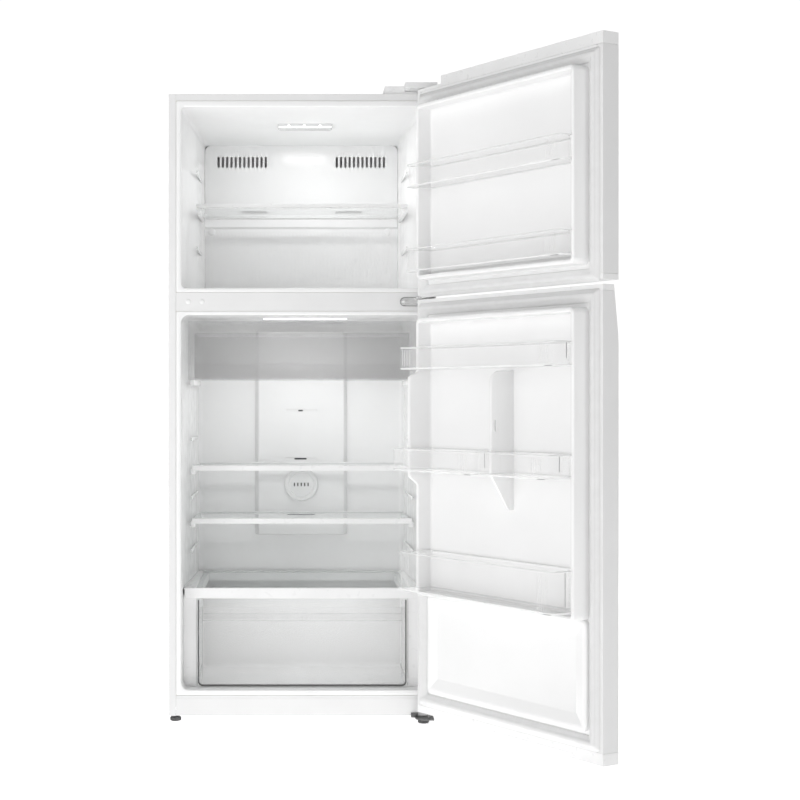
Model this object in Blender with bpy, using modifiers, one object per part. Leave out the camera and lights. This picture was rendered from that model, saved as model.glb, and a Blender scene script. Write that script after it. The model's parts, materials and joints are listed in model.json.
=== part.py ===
"""Top freezer refrigerator with both doors open.

Lengths are in metres. Parts are drawn in the cabinet's frame: X across the front, with the
hinges at +X, Y from the front plane of the case towards the back, and Z up from the floor.
Doors are drawn closed and hang from an empty on the hinge pin, which holds them open.
The whole model is then shifted, so that the origin is under the middle of its bounding box.
"""
from math import cos, pi, radians, sin

import bmesh
import bpy
from mathutils import Matrix, Vector

# Driving dimensions
CASE_HALF = 0.352
CASE_DEPTH = 0.620
CASE_BOTTOM = 0.016
CASE_TOP = 1.654
SHEET = 0.001
GAP = 0.0003
FLANGE_EDGE = 0.333
LINER_WALL = 0.002

OPENING_HALF = 0.319
FREEZER_Z = (1.143, 1.620)
FREEZER_BACK = 0.545
FREEZER_TAPER = 0.0793
FREEZER_CEILING_DROP = 0.035
FRIDGE_Z = (0.0845, 1.072)
FRIDGE_BACK = 0.500
FRIDGE_TAPER = 0.038
HUMP_FRONT = 0.385
HUMP_TOP = 0.300
CORNER_RADIUS = 0.014
MULLION_Z = (1.0823, 1.1307)

BAY_FRONT = 0.420
BAY_TOP = 0.245
PAN_Z = 0.044

PIN = Vector((0.330, -0.0325, 0.0))
PIN_RADIUS = 0.004
OPEN_ANGLE = radians(121.77)
DOOR_GAP = 0.013
DOOR_THICK = 0.049
DOOR_IN = -DOOR_GAP
DOOR_OUT = -DOOR_GAP - DOOR_THICK
HINGE_CORNER = 0.012
FREE_CORNER = 0.003
DOOR_EDGE = 0.018
FREEZER_DOOR_Z = (1.120, 1.681)
FREEZER_CAPS = (1.134, 1.653)
FRIDGE_DOOR_Z = (0.032, 1.110)
FRIDGE_CAPS = (0.050, 1.096)
SKIRT_U = 0.590
SKIRT_Z = 0.022
HINGE_STEP_U = 0.100
HINGE_STEP_Z = 1.660
HOOD_TOP = 1.6755
GASKET_U = 0.0175
GASKET_INNER_U = (0.0465, 0.6625)
GASKET_WIDTH = 0.028
FREEZER_GASKET_Z = (1.1225, 1.6385)
FRIDGE_GASKET_Z = (0.062, 1.0925)

RIDGE_U = (0.055, 0.660)
RIDGE_INNER_U = (0.071, 0.648)
RIDGE_W = 0.048
TALL_RIDGE_W = 0.075
PAN_W = 0.007
FREEZER_RIDGE_Z = (1.156, 1.610)
FRIDGE_RIDGE_Z = (0.345, 1.060)
TALL_RIDGE_Z = (0.655, 0.905)
RIM = 0.014
LOWER_PANEL_Z = (0.092, 0.345)
LOWER_PANEL_W = 0.012
FIN_U = (0.390, 0.400)

GRIP_X = -0.112
GRIP_DEPTH = 0.015
GRIP_Z = (0.975, 1.110)

RACK_WALL = 0.0022
RACK_INNER_U = (0.0735, 0.6455)
RACK_OUTER_U = (0.058, 0.655)
DEEP_RACK_W = 0.125

# Free corners of the open door and its deepest rack, which set the bounding box
TURN = Matrix.Rotation(OPEN_ANGLE, 4, "Z")


def opened(x, y):
    """Where a point of a closed door is when the door stands open."""
    return PIN + TURN @ (Vector((x, y, 0.0)) - PIN)


RIGHT_END = opened(-CASE_HALF + FREE_CORNER, DOOR_OUT + FREE_CORNER).x + FREE_CORNER
FRONT_END = opened(CASE_HALF - RACK_OUTER_U[1], DOOR_IN + DEEP_RACK_W).y
ORIGIN = Vector(((RIGHT_END - CASE_HALF) / 2, (FRONT_END + CASE_DEPTH) / 2, 0.0))

for old in list(bpy.data.objects):
    bpy.data.objects.remove(old, do_unlink=True)

PARTS = bpy.data.collections.new("top_freezer_refrigerator")
TOOLS = bpy.data.collections.new("cutters")
bpy.context.scene.collection.children.link(PARTS)
bpy.context.scene.collection.children.link(TOOLS)


# Materials
def material(name, colour, roughness, metallic=0.0, alpha=1.0):
    made = bpy.data.materials.new(name)
    made.use_nodes = True
    shader = made.node_tree.nodes["Principled BSDF"]
    shader.inputs["Base Color"].default_value = (*colour, 1.0)
    shader.inputs["Roughness"].default_value = roughness
    shader.inputs["Metallic"].default_value = metallic
    shader.inputs["Alpha"].default_value = alpha
    return made


WHITE_STEEL = material("white_steel", (0.86, 0.87, 0.87), 0.35)
WHITE_ABS = material("white_plastic", (0.90, 0.90, 0.90), 0.30)
GASKET_GREY = material("gasket_rubber", (0.78, 0.78, 0.78), 0.60)
CLEAR = material("clear_plastic", (0.93, 0.95, 0.95), 0.08, alpha=0.35)
SMOKED = material("frosted_plastic", (0.70, 0.71, 0.72), 0.25, alpha=0.60)
GLASS = material("shelf_glass", (0.90, 0.95, 0.94), 0.04, alpha=0.30)
ZINC = material("zinc_steel", (0.62, 0.63, 0.64), 0.35, metallic=0.9)
DARK = material("dark_plastic", (0.09, 0.09, 0.10), 0.55)
COPPER = material("copper_tube", (0.72, 0.42, 0.28), 0.30, metallic=1.0)
ALUMINIUM = material("aluminium_fins", (0.75, 0.76, 0.77), 0.40, metallic=0.9)
FOAM = material("insulation_foam", (0.90, 0.82, 0.55), 0.90)
BLACK_ENAMEL = material("black_enamel", (0.03, 0.03, 0.03), 0.40)


# Carriers: an empty on each joint's axis
def carrier(name, location, parent=None, turn=0.0):
    empty = bpy.data.objects.new(name, None)
    PARTS.objects.link(empty)
    empty.parent = parent
    if parent is not None and parent.get("place"):
        empty.matrix_parent_inverse = Matrix.Translation(-Vector(parent["place"]))
    empty.location = location
    empty.rotation_euler = (0.0, 0.0, turn)
    empty["place"] = tuple(location)
    return empty


ROOT = carrier("cabinet_frame", -ORIGIN)
ROOT["place"] = (0.0, 0.0, 0.0)


# Building blocks
def box(bm, low, high):
    """Add a box between two corners."""
    low, high = Vector(low), Vector(high)
    size = Matrix.Diagonal((*(high - low), 1.0))
    bmesh.ops.create_cube(bm, size=1.0, matrix=Matrix.Translation((low + high) / 2) @ size)


def prism(bm, outline, axis, low, high):
    """Extrude a flat outline along X, Y or Z."""
    spots = {
        "X": lambda a, b: (low, a, b),
        "Y": lambda a, b: (a, low, b),
        "Z": lambda a, b: (a, b, low),
    }
    face = bm.faces.new([bm.verts.new(spots[axis](a, b)) for a, b in outline])
    raised = bmesh.ops.extrude_face_region(bm, geom=[face])
    verts = [item for item in raised["geom"] if isinstance(item, bmesh.types.BMVert)]
    shift = Vector([high - low if letter == axis else 0.0 for letter in "XYZ"])
    bmesh.ops.translate(bm, verts=verts, vec=shift)


def rod(bm, radius, start, end, segments=12):
    """Add a round bar between two points."""
    start, end = Vector(start), Vector(end)
    line = end - start
    turn = Vector((0.0, 0.0, 1.0)).rotation_difference(line).to_matrix().to_4x4()
    bmesh.ops.create_cone(
        bm, cap_ends=True, segments=segments, radius1=radius, radius2=radius,
        depth=line.length, matrix=Matrix.Translation((start + end) / 2) @ turn)


def attach(thing, holder):
    """Hang an object, drawn in the cabinet's frame, from a carrier."""
    thing.parent = holder
    thing.matrix_parent_inverse = Matrix.Translation(-Vector(holder["place"]))
    return thing


def to_mesh(name, bm):
    bmesh.ops.recalc_face_normals(bm, faces=bm.faces)
    mesh = bpy.data.meshes.new(name)
    bm.to_mesh(mesh)
    bm.free()
    return mesh


def part(name, bm, look, holder=ROOT):
    """Make a named sub-part of the object."""
    thing = bpy.data.objects.new(name, to_mesh(name, bm))
    thing.data.materials.append(look)
    PARTS.objects.link(thing)
    return attach(thing, holder)


def tool(name, bm, holder=ROOT):
    """Make a hidden shape that cuts a part or is joined to it."""
    thing = bpy.data.objects.new(name, to_mesh(name, bm))
    TOOLS.objects.link(thing)
    thing.hide_render = True
    thing.display_type = "WIRE"
    return attach(thing, holder)


def combine(target, operation, operand):
    step = target.modifiers.new(operand.name, "BOOLEAN")
    step.operation = operation
    step.solver = "EXACT"
    step.object = operand


def cut(target, operand):
    combine(target, "DIFFERENCE", operand)


def join(target, operand):
    combine(target, "UNION", operand)


def box_part(name, low, high, look, holder=ROOT):
    bm = bmesh.new()
    box(bm, low, high)
    return part(name, bm, look, holder)


def box_tool(name, boxes, holder=ROOT):
    bm = bmesh.new()
    for low, high in boxes:
        box(bm, low, high)
    return tool(name, bm, holder)


def prism_part(name, outline, axis, low, high, look, holder=ROOT):
    bm = bmesh.new()
    prism(bm, outline, axis, low, high)
    return part(name, bm, look, holder)


def prism_tool(name, outline, axis, low, high, holder=ROOT):
    bm = bmesh.new()
    prism(bm, outline, axis, low, high)
    return tool(name, bm, holder)


def turned(name, profile, location, rotation, look, holder=ROOT, steps=24):
    """Turn a profile of (radius, height) points, listed from the top down, about an axis."""
    mesh = bpy.data.meshes.new(name)
    points = [(radius, 0.0, height) for radius, height in profile]
    mesh.from_pydata(points, [(i, i + 1) for i in range(len(points) - 1)], [])
    thing = bpy.data.objects.new(name, mesh)
    mesh.materials.append(look)
    PARTS.objects.link(thing)
    attach(thing, holder)
    thing.location = location
    thing.rotation_euler = rotation
    screw = thing.modifiers.new("Turn", "SCREW")
    screw.steps = steps
    screw.render_steps = steps
    screw.use_merge_vertices = True
    screw.merge_threshold = 0.00005
    return thing


# Insulated cabinet
def freezer_half(y):
    return OPENING_HALF - FREEZER_TAPER * y


def fridge_half(y):
    return OPENING_HALF - FRIDGE_TAPER * y


def freezer_ceiling(y):
    return FREEZER_Z[1] - FREEZER_CEILING_DROP * y / FREEZER_BACK


def freezer_profile(front, grow):
    """Side view of the freezer's inside, grown outwards by a wall."""
    back = FREEZER_BACK + grow
    return [
        (front, FREEZER_Z[0] - grow),
        (front, freezer_ceiling(front) + grow),
        (back, freezer_ceiling(back) + grow),
        (back, FREEZER_Z[0] - grow),
    ]


def fridge_profile(front, grow):
    """Side view of the fridge's inside, with the hump over the compressor bay."""
    back = FRIDGE_BACK + grow
    return [
        (front, FRIDGE_Z[0] - grow),
        (front, FRIDGE_Z[1] + grow),
        (back, FRIDGE_Z[1] + grow),
        (back, HUMP_TOP - grow),
        (HUMP_FRONT + grow, HUMP_TOP - grow),
        (HUMP_FRONT + grow, FRIDGE_Z[0] - grow),
    ]


def add_cavity(bm, profile, half_at, front, radius):
    """Add a tapered compartment, rounded along every edge that isn't at the front."""
    prism(bm, profile, "X", -1.0, 1.0)
    for vert in bm.verts:
        vert.co.x *= half_at(vert.co.y)
    inside = [
        edge for edge in bm.edges
        if max(vert.co.y for vert in edge.verts) > front + 0.001
    ]
    bmesh.ops.bevel(
        bm, geom=inside, offset=radius, segments=3, profile=0.5,
        affect="EDGES", clamp_overlap=True)


def cavity_tool(name, profile_of, half_at, front, grow):
    bm = bmesh.new()
    add_cavity(bm, profile_of(front, grow), lambda y: half_at(y) + grow, front,
               CORNER_RADIUS + grow)
    return tool(name, bm)


def ledges_tool(name, half_at, rows):
    """Rails on both side walls: each row is (inner x, front y, back y, bottom z, top z)."""
    bm = bmesh.new()
    bite = LINER_WALL / 2
    for inner, front, back, bottom, top in rows:
        for side in (-1, 1):
            outline = [
                (side * inner, front),
                (side * (half_at(front) + bite), front),
                (side * (half_at(back) + bite), back),
                (side * inner, back),
            ]
            prism(bm, outline, "Z", bottom, top)
    return tool(name, bm)


def liner(name, profile_of, half_at, flange_z, rails):
    """Thin moulded tub with a flange round its mouth."""
    bm = bmesh.new()
    start = LINER_WALL / 2
    add_cavity(bm, profile_of(start, LINER_WALL), lambda y: half_at(y) + LINER_WALL, start,
               CORNER_RADIUS + LINER_WALL)
    tub = part(name, bm, WHITE_ABS)
    edge = FLANGE_EDGE - GAP
    low, high = (-edge, 0.0, flange_z[0]), (edge, LINER_WALL, flange_z[1])
    join(tub, box_tool(name + "_flange", [(low, high)]))
    cut(tub, cavity_tool(name + "_inside", profile_of, half_at, -0.010, 0.0))
    join(tub, ledges_tool(name + "_rails", half_at, rails))
    return tub


def side_panel(name, side):
    outer, inner, flange = side * CASE_HALF, side * (CASE_HALF - SHEET), side * FLANGE_EDGE
    outline = [
        (outer, 0.0), (outer, CASE_DEPTH), (inner, CASE_DEPTH),
        (inner, SHEET), (flange, SHEET), (flange, 0.0),
    ]
    return prism_part(name, outline, "Z", CASE_BOTTOM, CASE_TOP, WHITE_STEEL)


def top_panel():
    inside = CASE_HALF - SHEET - GAP
    edge = FLANGE_EDGE - GAP
    plate = box_part("top_panel", (-inside, SHEET + GAP, CASE_TOP - SHEET),
                     (inside, CASE_DEPTH - GAP, CASE_TOP), WHITE_STEEL)
    lip = [
        (0.0, FREEZER_Z[1] + 0.0163), (SHEET, FREEZER_Z[1] + 0.0163),
        (SHEET, CASE_TOP - SHEET), (0.010, CASE_TOP - SHEET), (0.010, CASE_TOP), (0.0, CASE_TOP),
    ]
    join(plate, prism_tool("top_panel_lip", lip, "X", -edge, edge))
    return plate


def rear_panel():
    half = CASE_HALF - SHEET - GAP
    return box_part("rear_panel", (-half, 0.6185, BAY_TOP + 0.002),
                    (half, CASE_DEPTH - GAP, CASE_TOP - SHEET - GAP), ZINC)


def insulation():
    half = CASE_HALF - SHEET - 0.0005
    body = box_part("cabinet_insulation", (-half, 0.0026, PAN_Z + 0.002),
                    (half, 0.6180, CASE_TOP - SHEET - 0.0005), FOAM)
    clear = LINER_WALL + GAP
    bay = ((-0.40, BAY_FRONT - 0.0064, 0.0), (0.40, 0.70, BAY_TOP + 0.0020))
    cut(body, cavity_tool("freezer_space", freezer_profile, freezer_half, -0.010, clear))
    cut(body, cavity_tool("fridge_space", fridge_profile, fridge_half, -0.010, clear))
    cut(body, box_tool("bay_space", [bay]))
    return body


def base_frame():
    """Bent pan under the insulation, with two runners and the compressor's cross member."""
    front, back, thick = 0.003, 0.6175, 0.0015
    roof = BAY_TOP + 0.0015
    riser = BAY_FRONT - 0.006
    pan = [
        (front, PAN_Z), (riser + thick, PAN_Z), (riser + thick, roof - thick),
        (back, roof - thick), (back, roof), (riser, roof), (riser, PAN_Z + thick),
        (front, PAN_Z + thick),
    ]
    frame = prism_part("base_frame", pan, "X", -0.3490, 0.3490, ZINC)
    runners = [((side * 0.345 - 0.004, front, 0.018), (side * 0.345 + 0.004, back, PAN_Z + 0.001))
               for side in (-1, 1)]
    members = [((-0.342, 0.440, 0.030), (0.342, 0.600, 0.032)),
               ((-0.342, 0.020, 0.020), (0.342, 0.050, 0.022))]
    join(frame, box_tool("base_runners", runners))
    join(frame, box_tool("base_members", members))
    return frame


def kick_panel():
    edge = FLANGE_EDGE - GAP
    front, deep = 0.0, 0.014
    outline = [
        (front, 0.0168), (deep, 0.0168), (deep, 0.0183), (0.0015, 0.0183),
        (0.0015, 0.0697), (front, 0.0697), (front, 0.0660), (0.0008, 0.0650),
        (0.0008, 0.0638), (front, 0.0628),
    ]
    return prism_part("kick_panel", outline, "X", -edge, edge, WHITE_STEEL)


def mullion_plate():
    edge = FLANGE_EDGE - GAP
    return box_part("mullion_plate", (-edge, 0.0, MULLION_Z[0]),
                    (edge, SHEET, MULLION_Z[1]), WHITE_STEEL)


# Freezer fittings
COVER_Y = 0.460
COVER_HALF = 0.279
COVER_TOP = 1.586
COVER_STEP = 1.3525
FAN_CENTRE = Vector((0.0, 0.486, 1.470))
LAMP_X = 0.009


def evaporator_cover():
    """Moulded panel over the evaporator: air slots above, a set-back ribbed part below."""
    recess, thick = 0.006, 0.0025
    outline = [
        (COVER_Y, COVER_STEP), (COVER_Y, COVER_TOP), (COVER_Y + thick, COVER_TOP),
        (COVER_Y + thick, COVER_STEP + thick), (COVER_Y + recess + thick, COVER_STEP - 0.002),
        (COVER_Y + recess + thick, FREEZER_Z[0] + 0.001), (COVER_Y + recess, FREEZER_Z[0] + 0.001),
        (COVER_Y + recess, COVER_STEP - 0.004),
    ]
    bm = bmesh.new()
    prism(bm, outline, "X", -COVER_HALF, COVER_HALF)
    ends = (FREEZER_Z[0] + 0.001, COVER_TOP)
    corners = []
    for edge in bm.edges:
        first, second = (vert.co for vert in edge.verts)
        runs_back = abs(first.y - second.y) > 0.9 * edge.calc_length()
        if runs_back and min(abs(first.z - end) for end in ends) < 1e-5:
            corners.append(edge)
    bmesh.ops.bevel(bm, geom=corners, offset=CORNER_RADIUS, segments=3, profile=0.5, affect="EDGES")
    panel = part("evaporator_cover", bm, WHITE_ABS)
    slots = []
    for side in (-1, 1):
        for index in range(12):
            centre = side * (0.1035 + 0.0125 * index)
            slots.append(((centre - 0.0035, COVER_Y - 0.01, 1.525),
                          (centre + 0.0035, COVER_Y + 0.02, 1.557)))
        low, high = sorted((side * 0.100, side * 0.175))
        slots.append(((low, COVER_Y - 0.01, 1.390), (high, COVER_Y + 0.02, 1.3985)))
    cut(panel, box_tool("cover_slots", slots))
    return panel


def evaporator():
    """Finned coil behind the cover, with its tube ends."""
    low, high = (-0.235, 0.476, 1.165), (0.235, 0.536, 1.345)
    coil = box_part("evaporator", low, high, ALUMINIUM)
    grooves = []
    for index in range(15):
        x = -0.217 + 0.031 * index
        grooves.append(((x - 0.004, 0.470, 1.150), (x + 0.004, 0.520, 1.360)))
    cut(coil, box_tool("fin_grooves", grooves))
    bm = bmesh.new()
    for side in (-1, 1):
        for index in range(3):
            z = 1.195 + 0.060 * index
            rod(bm, 0.0045, (side * 0.225, 0.528, z), (side * 0.252, 0.528, z), 8)
    join(coil, tool("tube_ends", bm))
    return coil


def fan_motor():
    bm = bmesh.new()
    x, _, z = FAN_CENTRE
    rod(bm, 0.024, (x, 0.512, z), (x, 0.538, z), 20)
    motor = part("fan_motor", bm, DARK)
    arms = ((-0.070, 0.533, z - 0.006), (0.070, 0.5375, z + 0.006))
    join(motor, box_tool("motor_bracket", [arms]))
    return motor


def evaporator_fan():
    """Five bladed fan in front of its motor."""
    holder = carrier("fan_axis", FAN_CENTRE, ROOT)
    bm = bmesh.new()
    x, y, z = FAN_CENTRE
    rod(bm, 0.018, (x, y - 0.010, z), (x, y + 0.016, z), 16)
    fan = part("evaporator_fan", bm, WHITE_ABS, holder)
    blades = bmesh.new()
    count = 5
    for index in range(count):
        place = Matrix.Translation(FAN_CENTRE)
        place = place @ Matrix.Rotation(2 * pi * index / count, 4, "Y")
        place = place @ Matrix.Translation((0.034, 0.0, 0.0)) @ Matrix.Rotation(0.6, 4, "X")
        shape = place @ Matrix.Diagonal((0.040, 0.0025, 0.028, 1.0))
        bmesh.ops.create_cube(blades, size=1.0, matrix=shape)
    join(fan, tool("fan_blades", blades, holder))
    return fan


def freezer_lamp():
    """Lens that follows the sloping ceiling."""
    front, back, drop = 0.189, 0.235, 0.010
    outline = [
        (front, freezer_ceiling(front) - GAP), (back, freezer_ceiling(back) - GAP),
        (back - 0.004, freezer_ceiling(back) - drop), (front + 0.004, freezer_ceiling(front) - drop),
    ]
    return prism_part("freezer_lamp", outline, "X", LAMP_X - 0.075, LAMP_X + 0.075, CLEAR)


def shelf(name, half, front, back, glass_half, glass_back, top, height):
    """Glass plate in a front trim; both slide forwards together."""
    holder = carrier(name + "_slide", (0.0, front, top), ROOT)
    middle = top - height / 2
    glass = (middle - 0.002, middle + 0.002)
    slot = 0.0012
    box_part(name + "_glass", (-glass_half, front + 0.010, glass[0]),
             (glass_half, glass_back, glass[1]), GLASS, holder)
    bottom = top - height
    outline = [
        (front, bottom), (back, bottom), (back, glass[0] - GAP), (front + slot + 0.0085, glass[0] - GAP),
        (front + slot + 0.0085, glass[1] + GAP), (back, glass[1] + GAP), (back, top), (front, top),
    ]
    prism_part(name + "_trim", outline, "X", -half, half, WHITE_ABS, holder)


# Fridge fittings
DUCT_Y = 0.480
DUCT_Z = (0.454, 1.050)
DUCT_HALF = 0.125


def duct_cover():
    """Hollow air duct on the back wall with three outlets."""
    back = FRIDGE_BACK - GAP
    outline = [(-DUCT_HALF - 0.010, back), (-DUCT_HALF, DUCT_Y), (DUCT_HALF, DUCT_Y),
               (DUCT_HALF + 0.010, back)]
    cover = prism_part("duct_cover", outline, "Z", *DUCT_Z, WHITE_ABS)
    inner = [(-DUCT_HALF - 0.005, back + 0.01), (-DUCT_HALF + 0.002, DUCT_Y + 0.0025),
             (DUCT_HALF - 0.002, DUCT_Y + 0.0025), (DUCT_HALF + 0.005, back + 0.01)]
    cut(cover, prism_tool("duct_inside", inner, "Z", DUCT_Z[0] + 0.003, DUCT_Z[1] - 0.003))
    slots = [((-0.046, DUCT_Y - 0.01, z - 0.0035), (0.046, DUCT_Y + 0.01, z + 0.0035))
             for z in (0.817, 0.676, 0.513)]
    cut(cover, box_tool("duct_slots", slots))
    return cover


def deodoriser_cap():
    """Round cap with a raised ring and a flat middle."""
    profile = [
        (0.0, 0.0070), (0.034, 0.0070), (0.035, 0.0060), (0.037, 0.0060), (0.038, 0.0080),
        (0.046, 0.0080), (0.049, 0.0055), (0.049, 0.0), (0.0, 0.0),
    ]
    return turned("deodoriser_cap", profile, (0.0, DUCT_Y - GAP, 0.601), (pi / 2, 0.0, 0.0),
                  WHITE_ABS, steps=32)


def fridge_lamp():
    top = FRIDGE_Z[1] - GAP
    outline = [(0.185, top), (0.235, top), (0.231, top - 0.0085), (0.189, top - 0.0085)]
    return prism_part("fridge_lamp", outline, "X", LAMP_X - 0.1165, LAMP_X + 0.1165, CLEAR)


def chiller_drawer():
    """Frosted drawer under the fridge ceiling: a tub with a wider front plate."""
    holder = carrier("chiller_slide", (0.0, 0.110, 0.902), ROOT)
    tub = box_part("chiller_drawer", (-0.292, 0.113, 0.904), (0.292, 0.440, 1.030), SMOKED, holder)
    join(tub, box_tool("chiller_front", [((-0.308, 0.110, 0.902), (0.308, 0.1135, 1.061))], holder))
    cut(tub, box_tool("chiller_inside", [((-0.2895, 0.1160, 0.9065), (0.2895, 0.4375, 1.10))], holder))
    return tub


def crisper_drawer():
    """Clear drawer with a finger recess along the top of its front."""
    holder = carrier("crisper_slide", (0.0, 0.045, 0.087), ROOT)
    half, front, back, bottom, top = 0.2775, 0.045, 0.362, 0.087, 0.3190
    tub = box_part("crisper_drawer", (-half, front, bottom), (half, back, top), CLEAR, holder)
    step, wall, deep = 0.262, 0.0025, 0.020
    inside = [
        (front + wall, bottom + wall), (front + wall, step - 0.002),
        (front + deep + wall, step + 0.016), (front + deep + wall, top + 0.01),
        (back - wall, top + 0.01), (back - wall, bottom + wall),
    ]
    recess = [(front - 0.01, step), (front, step), (front + deep, step + 0.018),
              (front + deep, top - 0.022), (front - 0.01, top - 0.022)]
    cut(tub, prism_tool("crisper_inside", inside, "X", wall - half, half - wall, holder))
    cut(tub, prism_tool("crisper_recess", recess, "X", -0.262, 0.262, holder))
    return tub


COVER_FRONT = 0.040
CRISPER_TOP = (0.3205, 0.3480)


def crisper_frame():
    """Frame over the crisper, with a leg down each side of the drawer."""
    bm = bmesh.new()
    low, high = CRISPER_TOP
    back = 0.494
    clear = 0.0045
    outline = []
    for side, ends in ((-1, (COVER_FRONT, back)), (1, (back, COVER_FRONT))):
        outline += [(side * (fridge_half(y) - clear), y) for y in ends]
    prism(bm, outline, "Z", low, high)
    frame = part("crisper_frame", bm, WHITE_ABS)
    window = ((-0.270, 0.065, low - 0.01), (0.270, 0.470, high - 0.0045))
    seat = ((-0.284, 0.055, high - 0.0048), (0.284, 0.480, high + 0.01))
    legs = bmesh.new()
    for side in (-1, 1):
        plan = [(side * 0.2810, 0.052), (side * (fridge_half(0.052) - clear), 0.052),
                (side * (fridge_half(0.360) - clear), 0.360), (side * 0.2810, 0.360)]
        prism(legs, plan, "Z", FRIDGE_Z[0] + 0.0205, low + 0.001)
    cut(frame, box_tool("crisper_window", [window]))
    cut(frame, box_tool("crisper_seat", [seat]))
    join(frame, tool("crisper_legs", legs))
    return frame


def crisper_glass():
    high = CRISPER_TOP[1]
    return box_part("crisper_cover_glass", (-0.2835, 0.0555, high - 0.0045),
                    (0.2835, 0.4795, high - 0.0003), GLASS)


# Compressor bay
def compressor():
    """Welded shell on a foot plate."""
    spot = (-0.150, 0.520, 0.040)
    profile = [
        (0.0, 0.175), (0.035, 0.172), (0.062, 0.155), (0.073, 0.128), (0.073, 0.100),
        (0.077, 0.098), (0.077, 0.088), (0.073, 0.086), (0.073, 0.040), (0.060, 0.014), (0.0, 0.008),
    ]
    shell = turned("compressor", profile, spot, (0.0, 0.0, 0.0), BLACK_ENAMEL, steps=24)
    x, y, z = spot
    plate = ((x - 0.095, y - 0.060, z - 0.0077), (x + 0.095, y + 0.060, z + 0.012))
    join(shell, box_tool("compressor_foot", [plate]))
    return shell


def condenser():
    """Tube that runs to and fro in layers over the drip tray."""
    curve = bpy.data.curves.new("condenser", "CURVE")
    curve.dimensions = "3D"
    curve.bevel_depth = 0.0024
    curve.bevel_resolution = 1
    curve.use_fill_caps = True
    spline = curve.splines.new("POLY")
    points = []
    rows, left, right = 7, 0.040, 0.290
    for row in range(rows):
        z = 0.078 + 0.022 * row
        ends = (left, right) if row % 2 == 0 else (right, left)
        push = 0.008 if row % 2 == 0 else -0.008
        points += [(ends[0], 0.520, z), (ends[1], 0.520, z)]
        if row < rows - 1:
            points += [(ends[1] + push, 0.520, z + 0.005), (ends[1] + push, 0.520, z + 0.017)]
    spline.points.add(len(points) - 1)
    for point, place in zip(spline.points, points):
        point.co = (*place, 1.0)
    thing = bpy.data.objects.new("condenser", curve)
    curve.materials.append(COPPER)
    PARTS.objects.link(thing)
    return attach(thing, ROOT)


def drip_tray():
    tray = box_part("drip_tray", (0.020, 0.455, 0.0325), (0.315, 0.585, 0.062), DARK)
    cut(tray, box_tool("tray_inside", [((0.0225, 0.4575, 0.035), (0.3125, 0.5825, 0.07))]))
    return tray


def bay_cover():
    """Louvred cover over the compressor bay."""
    y = 0.602
    cover = box_part("bay_cover", (-0.3395, y, 0.0330), (0.3395, y + 0.0015, 0.2440), ZINC)
    slots = []
    for side in (-1, 1):
        for index in range(6):
            z = 0.080 + 0.024 * index
            low, high = sorted((side * 0.045, side * 0.190))
            slots.append(((low, y - 0.01, z - 0.004), (high, y + 0.01, z + 0.004)))
    cut(cover, box_tool("cover_louvres", slots))
    return cover


def cord_gland():
    """Bushing where the mains lead leaves the bay."""
    profile = [
        (0.0, 0.0155), (0.006, 0.0155), (0.011, 0.010), (0.011, 0.0), (0.0, 0.0),
    ]
    return turned("cord_gland", profile, (0.270, 0.6039, 0.110), (-pi / 2, 0.0, 0.0), DARK,
                  steps=16)


# Hinges, feet and rollers
def pin_rod(bm, low, high):
    rod(bm, PIN_RADIUS, (PIN.x, PIN.y, low), (PIN.x, PIN.y, high), 12)


def top_hinge():
    """Bent plate screwed to the case top, with a pin down into the freezer door."""
    base, arm, thick = CASE_TOP + GAP, HINGE_STEP_Z + 0.0015, 0.0035
    outline = [
        (0.095, base), (0.095, base + thick), (0.021, base + thick), (0.013, arm + thick),
        (-0.046, arm + thick), (-0.046, arm), (0.011, arm), (0.019, base),
    ]
    plate = prism_part("top_hinge_bracket", outline, "X", 0.282, 0.344, ZINC)
    bm = bmesh.new()
    pin_rod(bm, HINGE_STEP_Z - 0.018, arm + 0.002)
    join(plate, tool("top_hinge_pin", bm))
    return plate


def top_hinge_cover():
    """Moulded hood over the top hinge, with a nose that reaches over the door."""
    face, back, nose = 0.006, 0.130, -0.050
    wall = 0.0025
    base = CASE_TOP + GAP
    over_door = HINGE_STEP_Z + 0.0011
    left, right = 0.215, CASE_HALF - 0.0005
    nose_left = 0.268
    hood = prism_part("top_hinge_cover", [(left, base), (right, base), (right, HOOD_TOP),
                                          (left + 0.003, HOOD_TOP)], "Y", face, back, WHITE_ABS)
    nose_box = ((nose_left, nose, over_door), (right, face + wall, HOOD_TOP - 0.0002))
    join(hood, box_tool("hood_nose", [nose_box]))
    hollows = [
        ((left + 0.005, face + wall, base - 0.01), (right - wall, back - wall, HOOD_TOP - wall)),
        ((nose_left + wall, nose + wall, over_door - 0.01), (right - wall, face, HOOD_TOP - wall)),
        ((nose_left + wall, face - 0.001, over_door), (right - wall, face + 0.01, HOOD_TOP - wall)),
    ]
    for index, space in enumerate(hollows):
        cut(hood, box_tool("hood_hollow_%d" % index, [space]))
    return hood


def middle_hinge():
    """Plate on the mullion with an arm between the doors and a pin both ways."""
    left, right, low, high = 0.2585, 0.3120, 1.0962, 1.1172
    bend = (high - low) / 2
    outline = [(right, low), (right, high)] + arc((left + bend, low + bend), bend, 90, 270, 8)
    plate = prism_part("middle_hinge", outline, "Y", -0.0030, -GAP, ZINC)
    arm = [(0.296, -0.0005), (0.296, -0.026), (0.312, -0.0445), (0.344, -0.0445), (0.344, -0.0005)]
    join(plate, prism_tool("middle_arm", arm, "Z", 1.1125, 1.1170))
    bm = bmesh.new()
    pin_rod(bm, 1.0985, 1.1320)
    join(plate, tool("middle_pin", bm))
    return plate


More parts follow.
